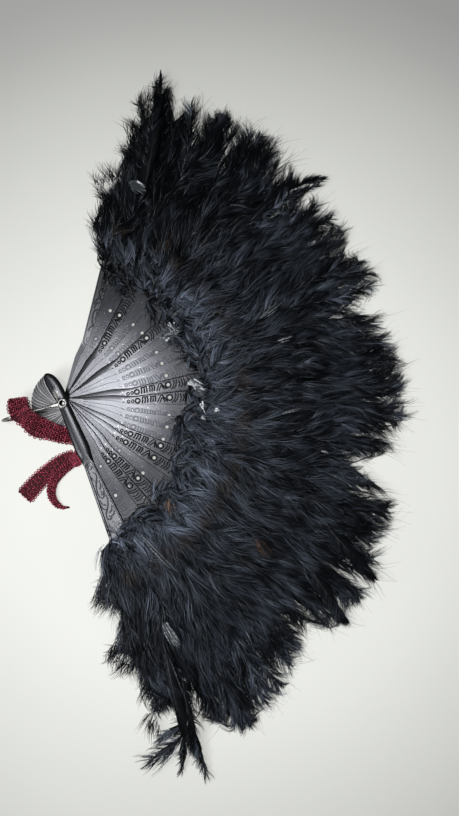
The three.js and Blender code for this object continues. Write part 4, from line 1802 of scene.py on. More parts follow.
@dataclass
class Feather:
    """One feather in the fan's plan: a bent quill with tufts of barbs."""

    base: Triple
    direction: float
    length: float
    crest: float
    tip_height: float
    barb: float
    bend: float = 0.0
    tuft_pitch: float = 1.2
    tuft_barbs: int = 6
    thickness: float = 0.42
    steps: int = 5
    back_sweep: float = 0.0
    hidden: float = 1.0
    free: bool = False

    def quill(self, share: Array) -> tuple[Array, Array]:
        """Find places on the quill.

        Args:
            share: Shares of its length.

        Returns:
            The points, and the quill's directions in the plan, in radians.
        """
        fine = np.linspace(0, 1, 60)
        heading = np.radians(self.direction + self.bend * (fine - 0.4))
        step = self.length / 59
        x = self.base[0] + np.concatenate([[0], np.cumsum(np.cos(heading[:-1]))]) * step
        y = self.base[1] + np.concatenate([[0], np.cumsum(np.sin(heading[:-1]))]) * step
        rise = np.sin(np.pi * np.clip(fine / 0.9, 0, 1)) * (self.crest - self.base[2])
        z = self.base[2] + rise + (self.tip_height - self.base[2]) * smooth_step((fine - 0.35) / 0.65)
        points = np.stack([np.interp(share, fine, axis) for axis in (x, y, z)], -1)
        return points, np.interp(share, fine, heading)

    def down(self, rng: np.random.Generator) -> Array:
        """Grow tufts of down all round the quill.

        Args:
            rng: The source of chance.

        Returns:
            Middle lines, as an array of barb, step and axis.
        """
        tufts = max(int(self.length / self.tuft_pitch), 12)
        place = ((np.arange(tufts) + rng.uniform(0, 1, tufts)) / tufts) ** self.hidden
        roll = rng.uniform(-1.9, 1.9, tufts)
        roll[0::5] = np.sign(roll[0::5]) * 1.5
        size = np.interp(place, [0, 0.15, 0.6, 0.88, 1], [0.9, 1, 0.92, 0.8, 0.7]) * self.barb
        size = size * rng.normal(1, 0.2, tufts).clip(0.5, 1.5)
        opening = np.interp(place, [0, 0.2, 0.7, 1], [72 + self.back_sweep, 56, 44, 34])
        opening = np.radians(opening + rng.normal(0, 9, tufts))
        swing = rng.normal(0, 0.15, (tufts, 1))
        begin = rng.uniform(0, 6.28, (tufts, 1))
        rate = rng.uniform(2, 6, (tufts, 1))
        wave = swing * np.sin(begin + rate * np.arange(self.steps) / self.steps)
        shared = self.strands(place, roll, opening, size, wave)
        pick = np.repeat(np.arange(tufts), self.tuft_barbs)
        count = len(pick)
        stray = 1.0 if self.free else 1.6
        own = self.strands(
            (place[pick] + rng.normal(0, 1.0, count) / self.length).clip(0, 1),
            roll[pick] + rng.normal(0, 0.3, count),
            opening[pick] + rng.normal(0, 0.1, count),
            size[pick] * rng.uniform(0.6, 1.12, count) * np.where(rng.random(count) < 0.04, stray, 1),
            wave[pick] + rng.normal(0, 0.05, (count, self.steps)),
        )
        pull = 0.62 * np.linspace(0, 1, self.steps + 1)[None, :, None] ** 1.2
        return own * (1 - pull) + shared[pick] * pull

    def strands(
        self, place: Array, roll: Array, opening: Array, size: Array, wave: Array
    ) -> Array:
        """Trace barbs out from the quill.

        Args:
            place: Their shares along the quill.
            roll: Their turns round it from straight up, in radians.
            opening: Their angles off it at the root, in radians.
            size: Their lengths.
            wave: Their turns aside in the plan at each step, in radians.

        Returns:
            Middle lines, as an array of barb, step and axis.
        """
        spot, heading = self.quill(place)
        line = [spot]
        for k in range(self.steps):
            t = (k + 0.5) / self.steps
            angle = opening * (1 - 0.7 * t)
            aside, ahead = np.sin(angle) * np.sin(roll), np.cos(angle)
            rise = np.sin(angle) * np.cos(roll) * 0.62 - 0.25 * t
            combed = flow_turn(spot[:, 0], spot[:, 1]) * min(2 * t, 1)
            way = heading + np.arctan2(aside, ahead) + wave[:, k] + combed
            level = np.hypot(aside, ahead)
            move = np.stack([np.cos(way) * level, np.sin(way) * level, rise], -1)
            spot = spot + move * (size / self.steps)[:, None]
            line.append(spot)
        return np.stack(line, 1)


@dataclass
class Vane(Feather):
    """A feather whose barbs lie locked together in a smooth flat vane."""

    spacing: float = 0.42
    left: float = 11.0
    right: float = 11.0
    split: float = 0.0

    def down(self, rng: np.random.Generator) -> Array:
        """Grow two flat rows of barbs.

        Args:
            rng: The source of chance.

        Returns:
            Middle lines, as an array of barb, step and axis.
        """
        rows = []
        for side, barb in ((Side.LEFT, self.left), (Side.RIGHT, self.right)):
            count = int(self.length / self.spacing)
            place = (np.arange(count) + 0.5) / count
            size = np.interp(place, [0, 0.12, 0.75, 0.94, 1], [0.55, 1, 0.92, 0.55, 0.2]) * barb
            size = size * rng.normal(1, 0.09, count)
            group = np.floor(place * 9 + rng.normal(0, 0.02, count)).astype(int) % 9
            gap = rng.normal(0, self.split, 9)[group]
            roll = np.full(count, side.value * 1.45)
            opening = np.interp(place, [0, 1], [0.72, 0.36]) + gap
            rows.append(self.strands(place, -roll, opening, size, np.zeros((count, self.steps))))
        return np.concatenate(rows)


class Tint(Enum):
    """The finishes of a plume, by their place on the piece."""

    BLACK = 0
    QUILL = 1
    PALE = 2
    RUSSET = 3


@dataclass(frozen=True)
class Stray:
    """A few stray strands lying on a plume's crown."""

    bar: int
    start: Pair
    end: Pair
    width: float
    count: int
    tint: Tint = Tint.PALE
    thickness: float = 0.55
    lift: float = 13.0
    scatter: float = 0.0
    crown: float = 32.5

    def lines(self, root: float, rng: np.random.Generator) -> Array:
        """Trace the strands.

        Args:
            root: The height of the bar's upper face.
            rng: The source of chance.

        Returns:
            Middle lines, as an array of strand, step and axis.
        """
        first, last = np.array(self.start), np.array(self.end)
        run = last - first
        aside = np.array([-run[1], run[0]]) / np.hypot(*run)
        offset = rng.uniform(-0.5, 0.5, self.count) * self.width
        trim = np.sqrt(np.clip(1 - (2 * offset / (self.width + 0.3)) ** 2, 0.1, 1))
        share = 0.5 + (np.linspace(-0.5, 0.5, 6)[None] + rng.normal(0, 0.05, (self.count, 1))) * trim[:, None]
        drift = rng.normal(0, 0.04 * self.width + 0.1, (self.count, 1))
        sway = offset[:, None] * (0.8 + 0.3 * share) + drift * share
        turn = rng.normal(0, self.scatter, self.count) if self.scatter else np.zeros(self.count)
        ahead, aslant = np.cos(turn), np.sin(turn)
        runs = np.stack([ahead * run[0] - aslant * run[1], aslant * run[0] + ahead * run[1]], 1)
        plan = (first + last) / 2 + (share - 0.5)[..., None] * runs[:, None] + sway[..., None] * aside
        height = min(root + self.lift, self.crown) + rng.uniform(0, 1.2, (self.count, 1)) + 0 * share
        return np.concatenate([plan, height[..., None]], -1)


STRAYS = (
    Stray(20, (56, 188), (68, 180), 10, 24, thickness=1.6, lift=16),
    Stray(20, (69, 199), (74, 227), 0.7, 2, thickness=0.4),
    Stray(17, (114, 132), (129, 152), 3, 6, thickness=0.3),
    Stray(14, (166, 72), (181, 85), 8, 14, thickness=0.4),
    Stray(13, (180, 52), (193, 56), 5, 8),
    Stray(9, (183, -9), (199, -5), 3, 7),
    Stray(17, (91, 72), (99, 80), 2, 4),
    Stray(15, (84, 53), (99, 64), 8, 12, thickness=2.0, lift=15, scatter=0.6),
    Stray(14, (88, 66), (97, 58), 5, 7, thickness=1.2, lift=16, scatter=0.5),
    Stray(12, (107, 19), (117, 12), 8, 11, thickness=2.2, lift=15, scatter=0.6),
    Stray(11, (111, 11), (121, 6), 7, 9, thickness=2.2, lift=15, scatter=0.6),
    Stray(10, (113, -2), (122, -5), 4, 7, thickness=1.8, lift=15, scatter=0.6),
    Stray(9, (116, -14), (121, -13), 3, 5, thickness=1.6, lift=15, scatter=0.7),
    Stray(10, (127, -6), (132, -6), 3, 5, thickness=1.6, lift=15, scatter=0.7),
    Stray(1, (70, -111), (95, -137), 4, 9, thickness=0.3),
    Stray(0, (87, -179), (98, -197), 9, 44, thickness=1.0),
    Stray(0, (92, -208), (105, -241), 0.9, 3, thickness=0.4),
    Stray(3, (148, -194), (154, -198), 3, 6),
    Stray(8, (216, -40), (222, -42), 2, 5),
    Stray(4, (162, -112), (174, -128), 10, 24, Tint.RUSSET, 0.4, 18),
    Stray(4, (89, -80), (94, -92), 8, 22, Tint.RUSSET, 0.5, 18, 0.3),
    Stray(9, (109, -10), (113, -10), 2.5, 6, Tint.RUSSET),
    Stray(18, (84, 130), (92, 146), 9, 16, Tint.RUSSET, 0.3),
    Stray(18, (101, 143), (104, 146), 1.6, 4, Tint.RUSSET),
)


@dataclass(frozen=True)
class Special:
    """A stiff or fluffy feather that stands out of the rest, given by its ends in the plan."""

    bar: int
    start: Pair
    end: Pair
    sides: Pair
    heights: Triple
    bend: float = 0.0
    split: float = 0.1
    fluffy: bool = False

    def feather(self) -> Feather:
        """Make the feather.

        Returns:
            A downy feather or a vane.
        """
        run = np.array(self.end) - np.array(self.start)
        turn = math.degrees(math.atan2(run[1], run[0]))
        shared = {
            "base": (*self.start, self.heights[0]), "direction": turn - 0.1 * self.bend,
            "length": math.hypot(*run), "crest": self.heights[1], "tip_height": self.heights[2],
            "barb": max(self.sides), "bend": self.bend,
        }
        if self.fluffy:
            return Feather(**shared, tuft_pitch=0.95, free=True)
        return Vane(**shared, left=self.sides[0], right=self.sides[1], split=self.split)


SPECIALS = (
    Special(20, (66, 182), (79, 290), (9, 20), (14, 20, 9), 14, 0.2),
    Special(20, (66, 200), (76, 284), (14, 14), (16, 19, 7), 14, fluffy=True),
    Special(20, (64, 196), (62, 266), (18, 18), (10, 14, 5), 10, fluffy=True),
    Special(18, (100, 190), (106, 262), (20, 20), (10, 14, 6), 8, fluffy=True),
    Special(16, (158, 158), (224, 198), (17, 15), (12, 14, 5), -34, 0.2),
    Special(16, (168, 160), (218, 192), (14, 14), (13, 15, 6), -24, fluffy=True),
    Special(6, (222, -104), (262, -148), (15, 15), (18, 20, 6), 0, 0.02),
    Special(5, (208, -140), (240, -184), (14, 14), (18, 20, 6), 0, 0.05),
    Special(0, (88, -204), (113, -294), (13, 13), (26, 29, 9), 12, 0.04),
    Special(0, (101, -226), (116, -290), (11, 11), (24, 26, 7), 6),
    Special(0, (101, -268), (99, -309), (8, 8), (12, 14, 4), -14, fluffy=True),
    Special(0, (107, -256), (121, -312), (12, 12), (9, 11, 3), 12, fluffy=True),
    Special(0, (108, -258), (80, -281), (13, 13), (16, 18, 5), -14, fluffy=True),
    Special(0, (106, -268), (73, -300), (21, 21), (15, 17, 4), -14, fluffy=True),
    Special(0, (76, -196), (42, -210), (18, 18), (16, 18, 5), -16, fluffy=True),
    Special(0, (56, -150), (34, -156), (16, 16), (20, 22, 8), -16, fluffy=True),
)


def strips(line: Array, thickness: float, roughness: float, rng: np.random.Generator) -> Array:
    """Widen barbs' middle lines into tapering strips.

    Args:
        line: An array of barb, step and axis.
        thickness: The strips' usual width at the root.
        roughness: How far each strip is turned about its length, in radians.
        rng: The source of chance.

    Returns:
        An array of barb, step, edge and axis.
    """
    way = np.gradient(line, axis=1)
    way /= np.linalg.norm(way, axis=-1, keepdims=True).clip(1e-9)
    level = np.stack([-way[..., 1], way[..., 0], np.zeros(way.shape[:2])], -1)
    level /= np.linalg.norm(level, axis=-1, keepdims=True).clip(1e-9)
    up = np.cross(way, level)
    roll = rng.normal(0, roughness, (len(line), 1, 1))
    face = np.cos(roll) * level + np.sin(roll) * up
    share = np.linspace(0, 1, line.shape[1])
    width = thickness * rng.uniform(0.7, 1.3, (len(line), 1, 1)) * (1 - share**1.6)[None, :, None]
    width = np.maximum(width, NARROWEST_BARB)
    return np.stack([line - face * width / 2, line + face * width / 2], axis=2)


def hair_plan(
    spot: Array, heading: Array, bend: Array, length: Array, steps: int, back: float = 0
) -> Array:
    """Trace bent hairs in the plan.

    Args:
        spot: Their roots.
        heading: Their ways at the root, in radians.
        bend: How far each turns along its length, in radians.
        length: Their lengths.
        steps: Runs in each hair.
        back: The share of the bend that is taken back at the root.

    Returns:
        An array of hair, step and axis.
    """
    line = [spot]
    for k in range(steps):
        way = heading + bend * (k / (steps - 1) - back)
        spot = spot + unit_ways(way) * (length / steps)[:, None]
        line.append(spot)
    return np.stack(line, 1)


@dataclass
class PlumeMesh:
    """One plume's mesh as it grows: flat barbs with their tones and finishes, then quills."""

    rng: np.random.Generator
    solid: Solid = field(default_factory=Solid)
    tones: list[Array] = field(default_factory=list)
    tints: list[Array] = field(default_factory=list)

    def add(
        self, line: Array, tone: Array, thickness: float, roughness: float, tint: Tint = Tint.BLACK
    ) -> None:
        """Add strands as flat strips.

        Args:
            line: Their middle lines, as an array of strand, step and axis.
            tone: One share a strand.
            thickness: Their usual width at the root.
            roughness: How far each is turned about its length, in radians.
            tint: Their finish.
        """
        made = strips(line, thickness, roughness, self.rng)
        count, steps = made.shape[:2]
        grid = np.arange(count * steps * 2).reshape(count, steps, 2)
        corners = [grid[:, :-1, 0], grid[:, :-1, 1], grid[:, 1:, 1], grid[:, 1:, 0]]
        quads = np.stack(corners, -1).reshape(-1, 4)
        self.solid.add(made.reshape(-1, 3), quads)
        self.tones.append(np.repeat(tone, steps * 2))
        self.tints.append(np.full(len(quads), tint.value))

    def piece(self, name: str, turn: float, finishes: list[Material]) -> Piece:
        """Make the plume's piece.

        Args:
            name: Its name.
            turn: How far it is turned about the rivet's axis, in degrees.
            finishes: Its finishes, in the order of Tint.

        Returns:
            The piece.
        """
        points = self.solid.all_points()
        points[:, 2] = np.maximum(points[:, 2], 0.2)
        faces = self.solid.faces()
        finish = np.full(sum(len(group) for group in faces), Tint.QUILL.value)
        strip_finish = np.concatenate(self.tints)
        finish[: len(strip_finish)] = strip_finish
        piece = new_object(name, points @ turning(turn), faces, finishes, finish, None)
        tone = np.zeros(len(points))
        strip_tone = np.concatenate(self.tones)
        tone[: len(strip_tone)] = strip_tone
        marked(piece, "tone", tone)
        return piece


@dataclass
class Plumes:
    """The plumes: each bar's bundle of downy feathers, and the odd stiff ones."""

    outline: Outline = field(default_factory=Outline)
    inner_edge: tuple[Pair, ...] = (
        (-69, 117), (-66.5, 119), (-62, 117), (-58, 107), (-54, 106), (-46, 108), (-39, 107), (-32, 102),
        (-25, 98), (-18, 95), (-11, 93), (-5, 96), (2, 101), (9, 109), (17, 114), (31, 112), (45, 109),
        (58, 109), (66, 112), (72.8, 120),
    )
    floor: float = 0.5
    floor_ease: float = 5.0
    ceiling: float = 34.0
    ceiling_ease: float = 6.0
    tone_shares: Triple = (0.2, 0.68, 0.12)
    vane_tones: Pair = (0.25, 0.3)
    vane_stray: float = 2.0
    down_stray: float = 5.0
    # Broad dark strips under the down, which paint shade.
    shade_strips: int = 8
    shade_strip_start: float = 160.0
    shade_strip_width: float = 11.0
    wisp_tufts: int = 9
    wisp_hairs: int = 4
    fringe_tufts: int = 46
    fringe_hairs: int = 14
    side_limit: float = 314.0
    # Dark strips along long quills, which paint shade under the barbs.
    core_widths: Pair = (6.0, 9.0)
    core_length: float = 80.0
    core_drop: float = 1.6
    first_seed: int = 500
    # Painted light and shade by bar: lighter on bars 1 to 15, most at bar 2, and darker from bar 17 to the
    # rear guard.
    brightness: tuple[Pair, ...] = ((0, 1.0), (2, 1.12), (6, 1.06), (16, 1.0), (19, 0.8))

    def feathers(self, number: int, rng: np.random.Generator) -> list[Feather]:
        """Choose one bar's downy feathers, from the longest and lowest to the shortest.

        Args:
            number: The bar.
            rng: The source of chance.

        Returns:
            The feathers.
        """
        bar = BarPlace(number)
        left = 8.0 if number == LAST_BAR else (BarPlace(number + 1).angle - bar.angle) / 2
        right = 9.0 if number == 0 else (bar.angle - BarPlace(number - 1).angle) / 2
        chosen: list[Feather] = []
        root = bar.bottom + bar.thickness + 0.3
        wide = (left + right) / 6.5
        inner = float(looked_up(bar.angle, self.inner_edge)) - (7 if bar.is_guard else 0)
        tiers = (
            # how many, roots, shares of the reach, stray, crest, tip height, barb, back sweep, hidden
            (6, (14, 24), (0.93, 1.0), 1.6, root - 3, 4.0, 25.0, 0, 0.6),
            (4, (12, 20), (0.78, 0.9), 1.5, root + 3, 8.0, 27.0, 0, 0.75),
            (4, (8, 16), (0.6, 0.74), 2.5, root + 6, 14.0, 27.0, 6, 0.85),
            (3, (5, 12), (0.48, 0.57), 4.0, root + 7, 19.0, 24.0, 14, 1),
            (3, (2, 7), (0.38, 0.44), 5.5, root + 5, root + 3, 17.0, 26, 1),
        )
        for count, roots, tips, stray, crest, end, barb, sweep, hidden in tiers:
            count = max(int(round(count * wide)), 2)
            for k in range(count):
                share = (k + rng.uniform(0.2, 0.8)) / count
                aim = bar.angle - right + share * (left + right) + rng.normal(0, stray * 0.4)
                start = inner + rng.uniform(*roots)
                offset = math.radians(bar.angle + (aim - bar.angle) * 0.8)
                base = (start * math.cos(offset), start * math.sin(offset), root + rng.uniform(0, 2))
                goal = aim + rng.normal(0, stray)
                reach = float(self.outline.reach_at(np.array(goal))) * rng.uniform(*tips)
                way = math.radians(goal)
                run = (reach * math.cos(way) - base[0], reach * math.sin(way) - base[1])
                chosen.append(
                    Feather(
                        base=base,
                        direction=math.degrees(math.atan2(run[1], run[0])),
                        length=math.hypot(*run),
                        crest=min(crest + rng.normal(0, 2), self.ceiling - 7),
                        tip_height=max(end + rng.normal(0, 2), 2),
                        barb=barb * rng.uniform(0.85, 1.15),
                        bend=rng.normal(0, 12),
                        back_sweep=sweep * (0.8 if bar.is_guard else 1),
                        hidden=hidden,
                        tuft_pitch=1.3 if number == 0 else 1.2,
                    )
                )
        return chosen

    def wisps(self, number: int, rng: np.random.Generator) -> Array:
        """Trace long loose hairs that stand past one bar's outer edge.

        Args:
            number: The bar.
            rng: The source of chance.

        Returns:
            Middle lines, as an array of hair, step and axis.
        """
        tufts, each = self.wisp_tufts, self.wisp_hairs
        count = tufts * each
        angle = np.repeat(BarPlace(number).angle + rng.uniform(-4.5, 4.5, tufts), each)
        angle = angle + rng.normal(0, 0.5, count)
        edge = self.outline.reach_at(angle)
        past = np.minimum(rng.exponential(7, count), 17)
        heading = np.radians(angle + np.repeat(rng.normal(0, 18, tufts), each))
        bend = np.repeat(rng.normal(0, 0.5, tufts), each) + rng.normal(0, 0.12, count)
        spot = (edge - rng.uniform(16, 30, count))[:, None] * unit_ways(np.radians(angle))
        length = edge + past - np.hypot(*spot.T)
        plan = hair_plan(spot, heading, bend, length, 6, 0.3)
        plan = plan * np.minimum(1, self.side_limit / np.abs(plan[..., :1]).clip(1))
        rise = np.linspace(11, 5, 7)[None] + np.repeat(rng.normal(0, 2, tufts), each)[:, None]
        return np.concatenate([plan, rise[..., None]], -1)

    def fringe(self, number: int, rng: np.random.Generator) -> Array:
        """Trace tufts of hairs that stand out from the open fan's side edge.

        Args:
            number: The guard's bar.
            rng: The source of chance.

        Returns:
            Middle lines, as an array of hair, step and axis.
        """
        side, table = (-1, self.outline.front_side) if number == 0 else (1, self.outline.rear_side)
        tufts, each = self.fringe_tufts, self.fringe_hairs
        count = tufts * each
        radius = np.repeat(rng.uniform(126, 285, tufts), each) + rng.normal(0, 1.6, count)
        angle = np.radians(looked_up(radius, table))
        angle = angle - side * rng.uniform(2, 10, count) / radius
        spot = radius[:, None] * unit_ways(angle)
        lean = np.repeat(rng.uniform(14, 56, tufts), each) + rng.normal(0, 7, count)
        heading = angle + side * np.radians(lean)
        bend = np.repeat(rng.normal(0.1, 0.4, tufts), each) * side + rng.normal(0, 0.1, count)
        length = np.repeat(rng.uniform(12, 23, tufts), each) * rng.uniform(0.6, 1.1, count)
        plan = hair_plan(spot, heading, bend, length, 5)
        rise = np.linspace(13, 6, 6)[None] + np.repeat(rng.normal(0, 3, tufts), each)[:, None]
        return np.concatenate([plan, np.maximum(rise, 1)[..., None]], -1)

    def shade_underlay(self, number: int, rng: np.random.Generator) -> Array:
        """Trace broad dark strips that lie lowest in one plume and paint shade under the down.

        Args:
            number: The bar.
            rng: The source of chance.

        Returns:
            Middle lines, as an array of barb, step and axis.
        """
        count = self.shade_strips
        angle = BarPlace(number).angle + np.linspace(-4, 4, count)[:, None]
        reach = self.outline.reach_at(angle) - rng.uniform(10, 22, (count, 1))
        radius = self.shade_strip_start + (reach - self.shade_strip_start) * np.linspace(0, 1, 9)
        height = np.linspace(5, 3, 9) + rng.uniform(-0.6, 0.6, (count, 1))
        turn = np.radians(angle)
        return np.stack([radius * np.cos(turn), radius * np.sin(turn), height], -1)

    def spared(self, line: Array, rng: np.random.Generator) -> Array:
        """Choose the barbs to keep: none over the bare blades, few far past the fan's sides.

        Args:
            line: Middle lines, as an array of barb, step and axis.
            rng: The source of chance.

        Returns:
            Which barbs are kept.
        """
        radius, angle = polar(line)
        limit = looked_up(angle, self.inner_edge)
        limit = limit - np.interp(angle, [-66, -60, 66, 72], [1, 10, 10, 1])
        limit = limit - rng.exponential(3, (len(line), 1))
        bare = (radius < limit).any(axis=1)
        past = np.zeros(len(line))
        for side, table in ((1, self.outline.rear_side), (-1, self.outline.front_side)):
            edge = looked_up(radius[:, -1], table)
            past = np.maximum(past, side * (angle[:, -1] - edge) * radius[:, -1] * math.pi / 180)
        return ~bare & (rng.random(len(line)) > np.clip(past / 12, 0, 0.85))

    def grow(self, mesh: PlumeMesh, feather: Feather, shine: float) -> None:
        """Add one feather's barbs, pressed inside the fan's outline, over a dark core strip that paints shade
        beneath them.

        Args:
            mesh: The plume's mesh.
            feather: The feather.
            shine: How bright the bar's plume is made, which paints light and shade bar by bar.
        """
        rng = mesh.rng
        vane = isinstance(feather, Vane)
        free = vane or feather.free
        line = feather.down(rng)
        each = 1 if vane else feather.tuft_barbs
        tufts = -(-len(line) // each)
        shared = np.repeat(rng.uniform(0, 1, tufts), each)[: len(line)]
        own = rng.uniform(0, 1, len(line))
        by_feather, by_tuft, by_barb = self.tone_shares
        tone = by_feather * rng.uniform(0.1, 0.9) + by_tuft * shared + by_barb * own
        if vane:
            tone = self.vane_tones[0] + self.vane_tones[1] * own
        far = self.vane_stray if vane else self.down_stray
        loose = np.repeat(rng.exponential(far, tufts), each)[: len(line)]
        loose = (loose * rng.uniform(0.6, 1.1, len(line)))[:, None]
        if not free:
            spared = self.spared(line, rng)
            line, tone, loose = line[spared], tone[spared], np.minimum(loose[spared], 18)
        line = self.outline.held_in(line, loose + 300 if free else loose)
        line[..., 2] = self.settled(line[..., 2])
        # Dark strips along the quill, under the barbs: painted shade.
        if feather.free or (not vane and feather.length > self.core_length):
            for tip in (0.16, 0.95):
                core, _ = feather.quill(np.linspace(0.6, tip, 9))
                if not free:
                    core = self.outline.held_in(core, np.full(len(core), -4.0))
                core = core + (0, 0, -self.core_drop)
                core[:, 2] = self.settled(core[:, 2])
                mesh.add(core[None], np.array([0.15]), self.core_widths[0 if free else 1], 0.05)
        mesh.add(line, tone * shine, feather.thickness * (1.25 if vane else 1), 0.12 if vane else 0.6)

    def build_plume(self, number: int, finishes: list[Material]) -> None:
        """Make one bar's plume as one piece.

        Args:
            number: The bar.
            finishes: The plume's finishes, in the order of Tint.
        """
        bar = BarPlace(number)
        rng = np.random.default_rng(self.first_seed + number)
        mesh = PlumeMesh(rng)
        feathers = self.feathers(number, rng)
        feathers += [special.feather() for special in SPECIALS if special.bar == number]
        # Scale the bar's tones: painted light on the bars near the front guard, painted shade on those near
        # the rear guard.
        shine = float(looked_up(number, self.brightness))
        for feather in feathers:
            self.grow(mesh, feather, shine)
        hairs = self.wisps(number, rng)
        mesh.add(hairs, rng.uniform(0.2, 0.6, len(hairs)), 0.3, 0.5)
        if bar.is_guard:
            hairs = self.fringe(number, rng)
            mesh.add(hairs, rng.uniform(0.1, 0.5, len(hairs)), 0.55, 0.5)
        for stray in STRAYS:
            if stray.bar == number:
                line = stray.lines(bar.bottom + bar.thickness, rng)
                tone = rng.uniform(0.2, 1 if stray.scatter else 0.75, len(line))
                mesh.add(line, tone, stray.thickness, 0.2, stray.tint)
        # Broad dark strips under the down: painted shade.
        line = self.outline.held_in(self.shade_underlay(number, rng), np.full((self.shade_strips, 1), -5.0))
        mesh.add(line, rng.uniform(0.05, 0.3, self.shade_strips), self.shade_strip_width, 0.1)
        for feather in feathers:
            line, _ = feather.quill(np.linspace(0, 0.9, 10))
            if not (isinstance(feather, Vane) or feather.free):
                line = self.outline.held_in(line, np.zeros(len(line)))
            mesh.solid.tube(line, np.linspace(0.45, 0.12, 10), 5)
        piece = mesh.piece(f"feather_plume_{bar.label}", -bar.angle, finishes)
        self.map_flat(piece)
        bar.put(piece, 0)
        seated(piece, bar.body, "plume", f"plume_{bar.label}")
        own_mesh(piece)

    def settled(self, height: Array) -> Array:
        """Press heights softly between the table and the plumes' crown.

        Args:
            height: Any heights.

        Returns:
            The pressed heights.
        """
        low, high = self.floor_ease, self.ceiling_ease
        under = np.minimum(height, low) - low
        height = np.where(height < low, self.floor + (low - self.floor) * np.exp(under / low), height)
        over = np.maximum(height - self.ceiling + high, 0)
        return np.where(over > 0, self.ceiling - high + high * (1 - np.exp(-over / high)), height)

    def map_flat(self, piece: Piece) -> None:
        """Lay the piece's texture map flat, seen from above.

        Args:
            piece: The piece.
        """
        mesh = piece.data
        co = np.empty(len(mesh.vertices) * 3, np.float32)
        mesh.vertices.foreach_get("co", co)
        plan = co.reshape(-1, 3)[:, :2]
        low, high = plan.min(0), plan.max(0)
        plan = (plan - low) / (high - low).max()
        corner = np.empty(len(mesh.loops), np.int32)
        mesh.loops.foreach_get("vertex_index", corner)
        layer = mesh.uv_layers.new(name="OFBake")
        layer.data.foreach_set("uv", (plan[corner] * 0.98 + 0.01).astype(np.float32).ravel())

    def build(self, finishes: list[Material]) -> None:
        """Make all the plumes.

        Args:
            finishes: The plumes' finishes, in the order of Tint.
        """
        for number in range(BAR_COUNT):
            self.build_plume(number, finishes)


# The room


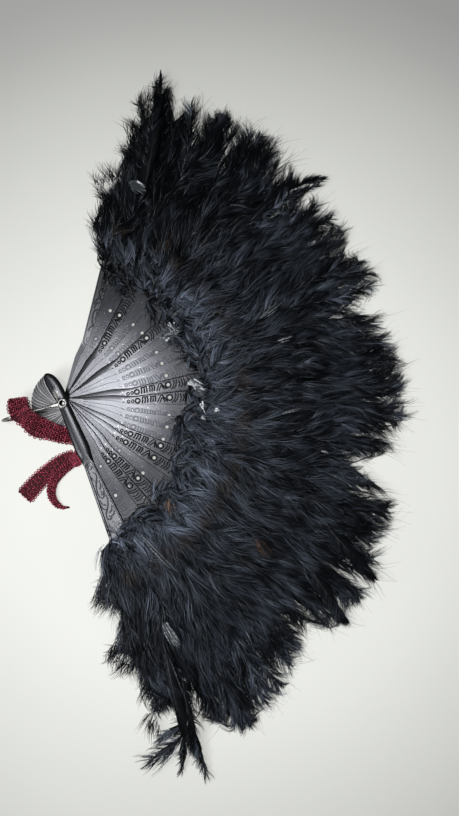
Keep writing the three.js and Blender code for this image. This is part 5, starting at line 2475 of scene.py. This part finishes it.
@dataclass
class Studio:
    """The camera, the lights and the table."""

    eye: Triple = (0.1398, -0.0350, 0.612)
    tilt: float = 3.0
    long_view: float = 60.0
    own_glow: float = 0.6
    # The table's glow fades with distance from this centre: a painted pool of light.
    glow_centre: Triple = (0.14, -0.06, 0)
    glow_fade: tuple[Pair, ...] = (
        (0.05, 0.95), (0.18, 0.93), (0.21, 0.88), (0.275, 0.72), (0.3, 0.66), (0.36, 0.5), (0.412, 0.33),
        (0.45, 0.25), (0.55, 0.2),
    )
    table_half: float = 6.0
    room_tint: tuple[float, ...] = (0.93, 0.96, 1.0, 1)
    room_strength: float = 0.16

    def build_camera(self) -> None:
        """Make the camera above the fan, leaning a little towards +Y."""
        data = bpy.data.cameras.new("view")
        data.sensor_width = 36
        data.lens = 18 / math.tan(math.radians(self.long_view / 2))
        data.clip_start, data.clip_end = 0.01, 50
        camera = linked("view", data)
        camera.location = self.eye
        camera.rotation_euler = (math.radians(self.tilt), 0, 0)
        bpy.context.scene.camera = camera

    def build_table(self) -> None:
        """Make the pale table top, which looks pale to the camera even in shade, with a glow that fades from
        one centre as a painted pool of light.
        """
        nodes = Nodes("pale_table")
        cloud = nodes.noise(5, 3)
        colour = nodes.ramp(cloud, (0.3, (0.69, 0.7, 0.67)), (0.7, (0.74, 0.75, 0.725)))
        nodes.surface(Base_Color=colour, Roughness=0.7, Specular_IOR_Level=0.2)
        seen = nodes.add("ShaderNodeLightPath")
        shows = nodes.reckoned("MAXIMUM", seen.outputs["Is Camera Ray"], seen.outputs["Is Glossy Ray"])
        share = nodes.reckoned("MULTIPLY", shows, self.own_glow)
        spot = nodes.add("ShaderNodeTexCoord").outputs["Object"]
        # The glow is brightest near its centre and fades outwards: a painted pool of light.
        away = nodes.add("ShaderNodeVectorMath", {0: spot, 1: self.glow_centre}, operation="DISTANCE")
        tints = ((place, (pale, pale * 1.01, pale * 0.955)) for place, pale in self.glow_fade)
        fall = nodes.ramp(away.outputs["Value"], *tints)
        glow = nodes.add("ShaderNodeEmission", {"Color": fall, "Strength": 1.0})
        blend = nodes.add("ShaderNodeMixShader", {0: share, 1: nodes.shader.outputs[0], 2: glow.outputs[0]})
        nodes.put(nodes.tree.nodes["Material Output"], "Surface", blend.outputs[0])
        half = self.table_half
        mesh = bpy.data.meshes.new("table")
        corners = [(-half, -half, 0), (half, -half, 0), (half, half, 0), (-half, half, 0)]
        mesh.from_pydata(corners, [], [(0, 1, 2, 3)])
        mesh.materials.append(nodes.material)
        table = linked("table", mesh)

    def lamp(self, name: str, place: Triple, aim: Triple, power: float, size: float) -> None:
        """Hang one soft square lamp.

        Args:
            name: Its name.
            place: Where it hangs.
            aim: What it points at.
            power: Its power in watts.
            size: Its side.
        """
        data = bpy.data.lights.new(name, "AREA")
        data.energy = power
        data.size = size
        lamp = linked(name, data)
        lamp.location = place
        lamp.rotation_euler = (Vector(aim) - Vector(place)).to_track_quat("-Z", "Y").to_euler()

    def build_lights(self) -> None:
        """Make the lamps and the even light of the room."""
        self.lamp("over_light", (-0.075, 0.065, 0.75), (0.06, 0, 0), 2.1, 0.13)
        self.lamp("side_light", (-0.1, -0.2, 0.8), (0.05, -0.05, 0), 0.9, 0.25)
        self.lamp("left_light", (-0.42, -0.32, 0.75), (0.12, -0.16, 0), 5.6, 0.3)
        world = bpy.data.worlds.new("room")
        world.use_nodes = True
        sky = world.node_tree.nodes["Background"].inputs
        sky["Color"].default_value = self.room_tint
        sky["Strength"].default_value = self.room_strength
        bpy.context.scene.world = world
        bpy.context.scene.view_settings.view_transform = "Standard"


def main() -> None:
    """Build the room and the fan, and report each piece."""
    logging.basicConfig(level=logging.INFO, format="%(name)s: %(message)s")
    studio = Studio()
    studio.build_camera()
    studio.build_lights()
    studio.build_table()
    pearl = PearlFinish().make()
    # A darker pearl that paints shade on the relief of face-down sticks.
    wear_and_shade = PearlFinish("pearl_painted_relief_shade", (0.015, 0.0155, 0.019), (0.033, 0.034, 0.04), (0.22, 0.36)).make()
    # A pale pearl that paints a highlight on the heads' rims.
    rim_highlight = PearlFinish("pearl_rim_highlight", (0.24, 0.242, 0.248), (0.4, 0.402, 0.41), (0.34, 0.46), 0.25).make()
    # A darker pearl for the heads' faces.
    darker_heads = PearlFinish("pearl_darker_heads", (0.012, 0.0125, 0.014), (0.04, 0.041, 0.045), (0.34, 0.46), 0.3)
    steel = steel_finish()
    # The dark wash of the sunk ornament, also used as painted shade on the sticks' edges and walls and down
    # the rivet's bore.
    wash_and_shade = wash_and_shade_finish()
    thread = CrochetFinish("red_ground", (0.02, 0.002, 0.004), (0.05, 0.004, 0.01), 0.0, 0.0, 0.05).make()
    bead = CrochetFinish("red_thread", (0.018, 0.002, 0.005), (0.36, 0.045, 0.08), 0.5).make()
    Sticks().build(pearl, wash_and_shade, wear_and_shade, rim_highlight, darker_heads.make())
    Guards().build(GuardFinish().make())
    Pivot().build(steel, wash_and_shade)
    Ribbon().build(thread, bead)
    pale = FeatherFinish("pale_strands", (0.03, 0.034, 0.038), (0.85, 0.9, 0.95), (0.4, 0.41, 0.42), True)
    russet = FeatherFinish(
        "russet_strands", (0.006, 0.004, 0.003), (0.36, 0.19, 0.095), (0.14, 0.08, 0.04), True
    )
    Plumes().build([FeatherFinish().make(), quill_finish(), pale.make(), russet.make()])


if __name__ == "__main__":
    main()
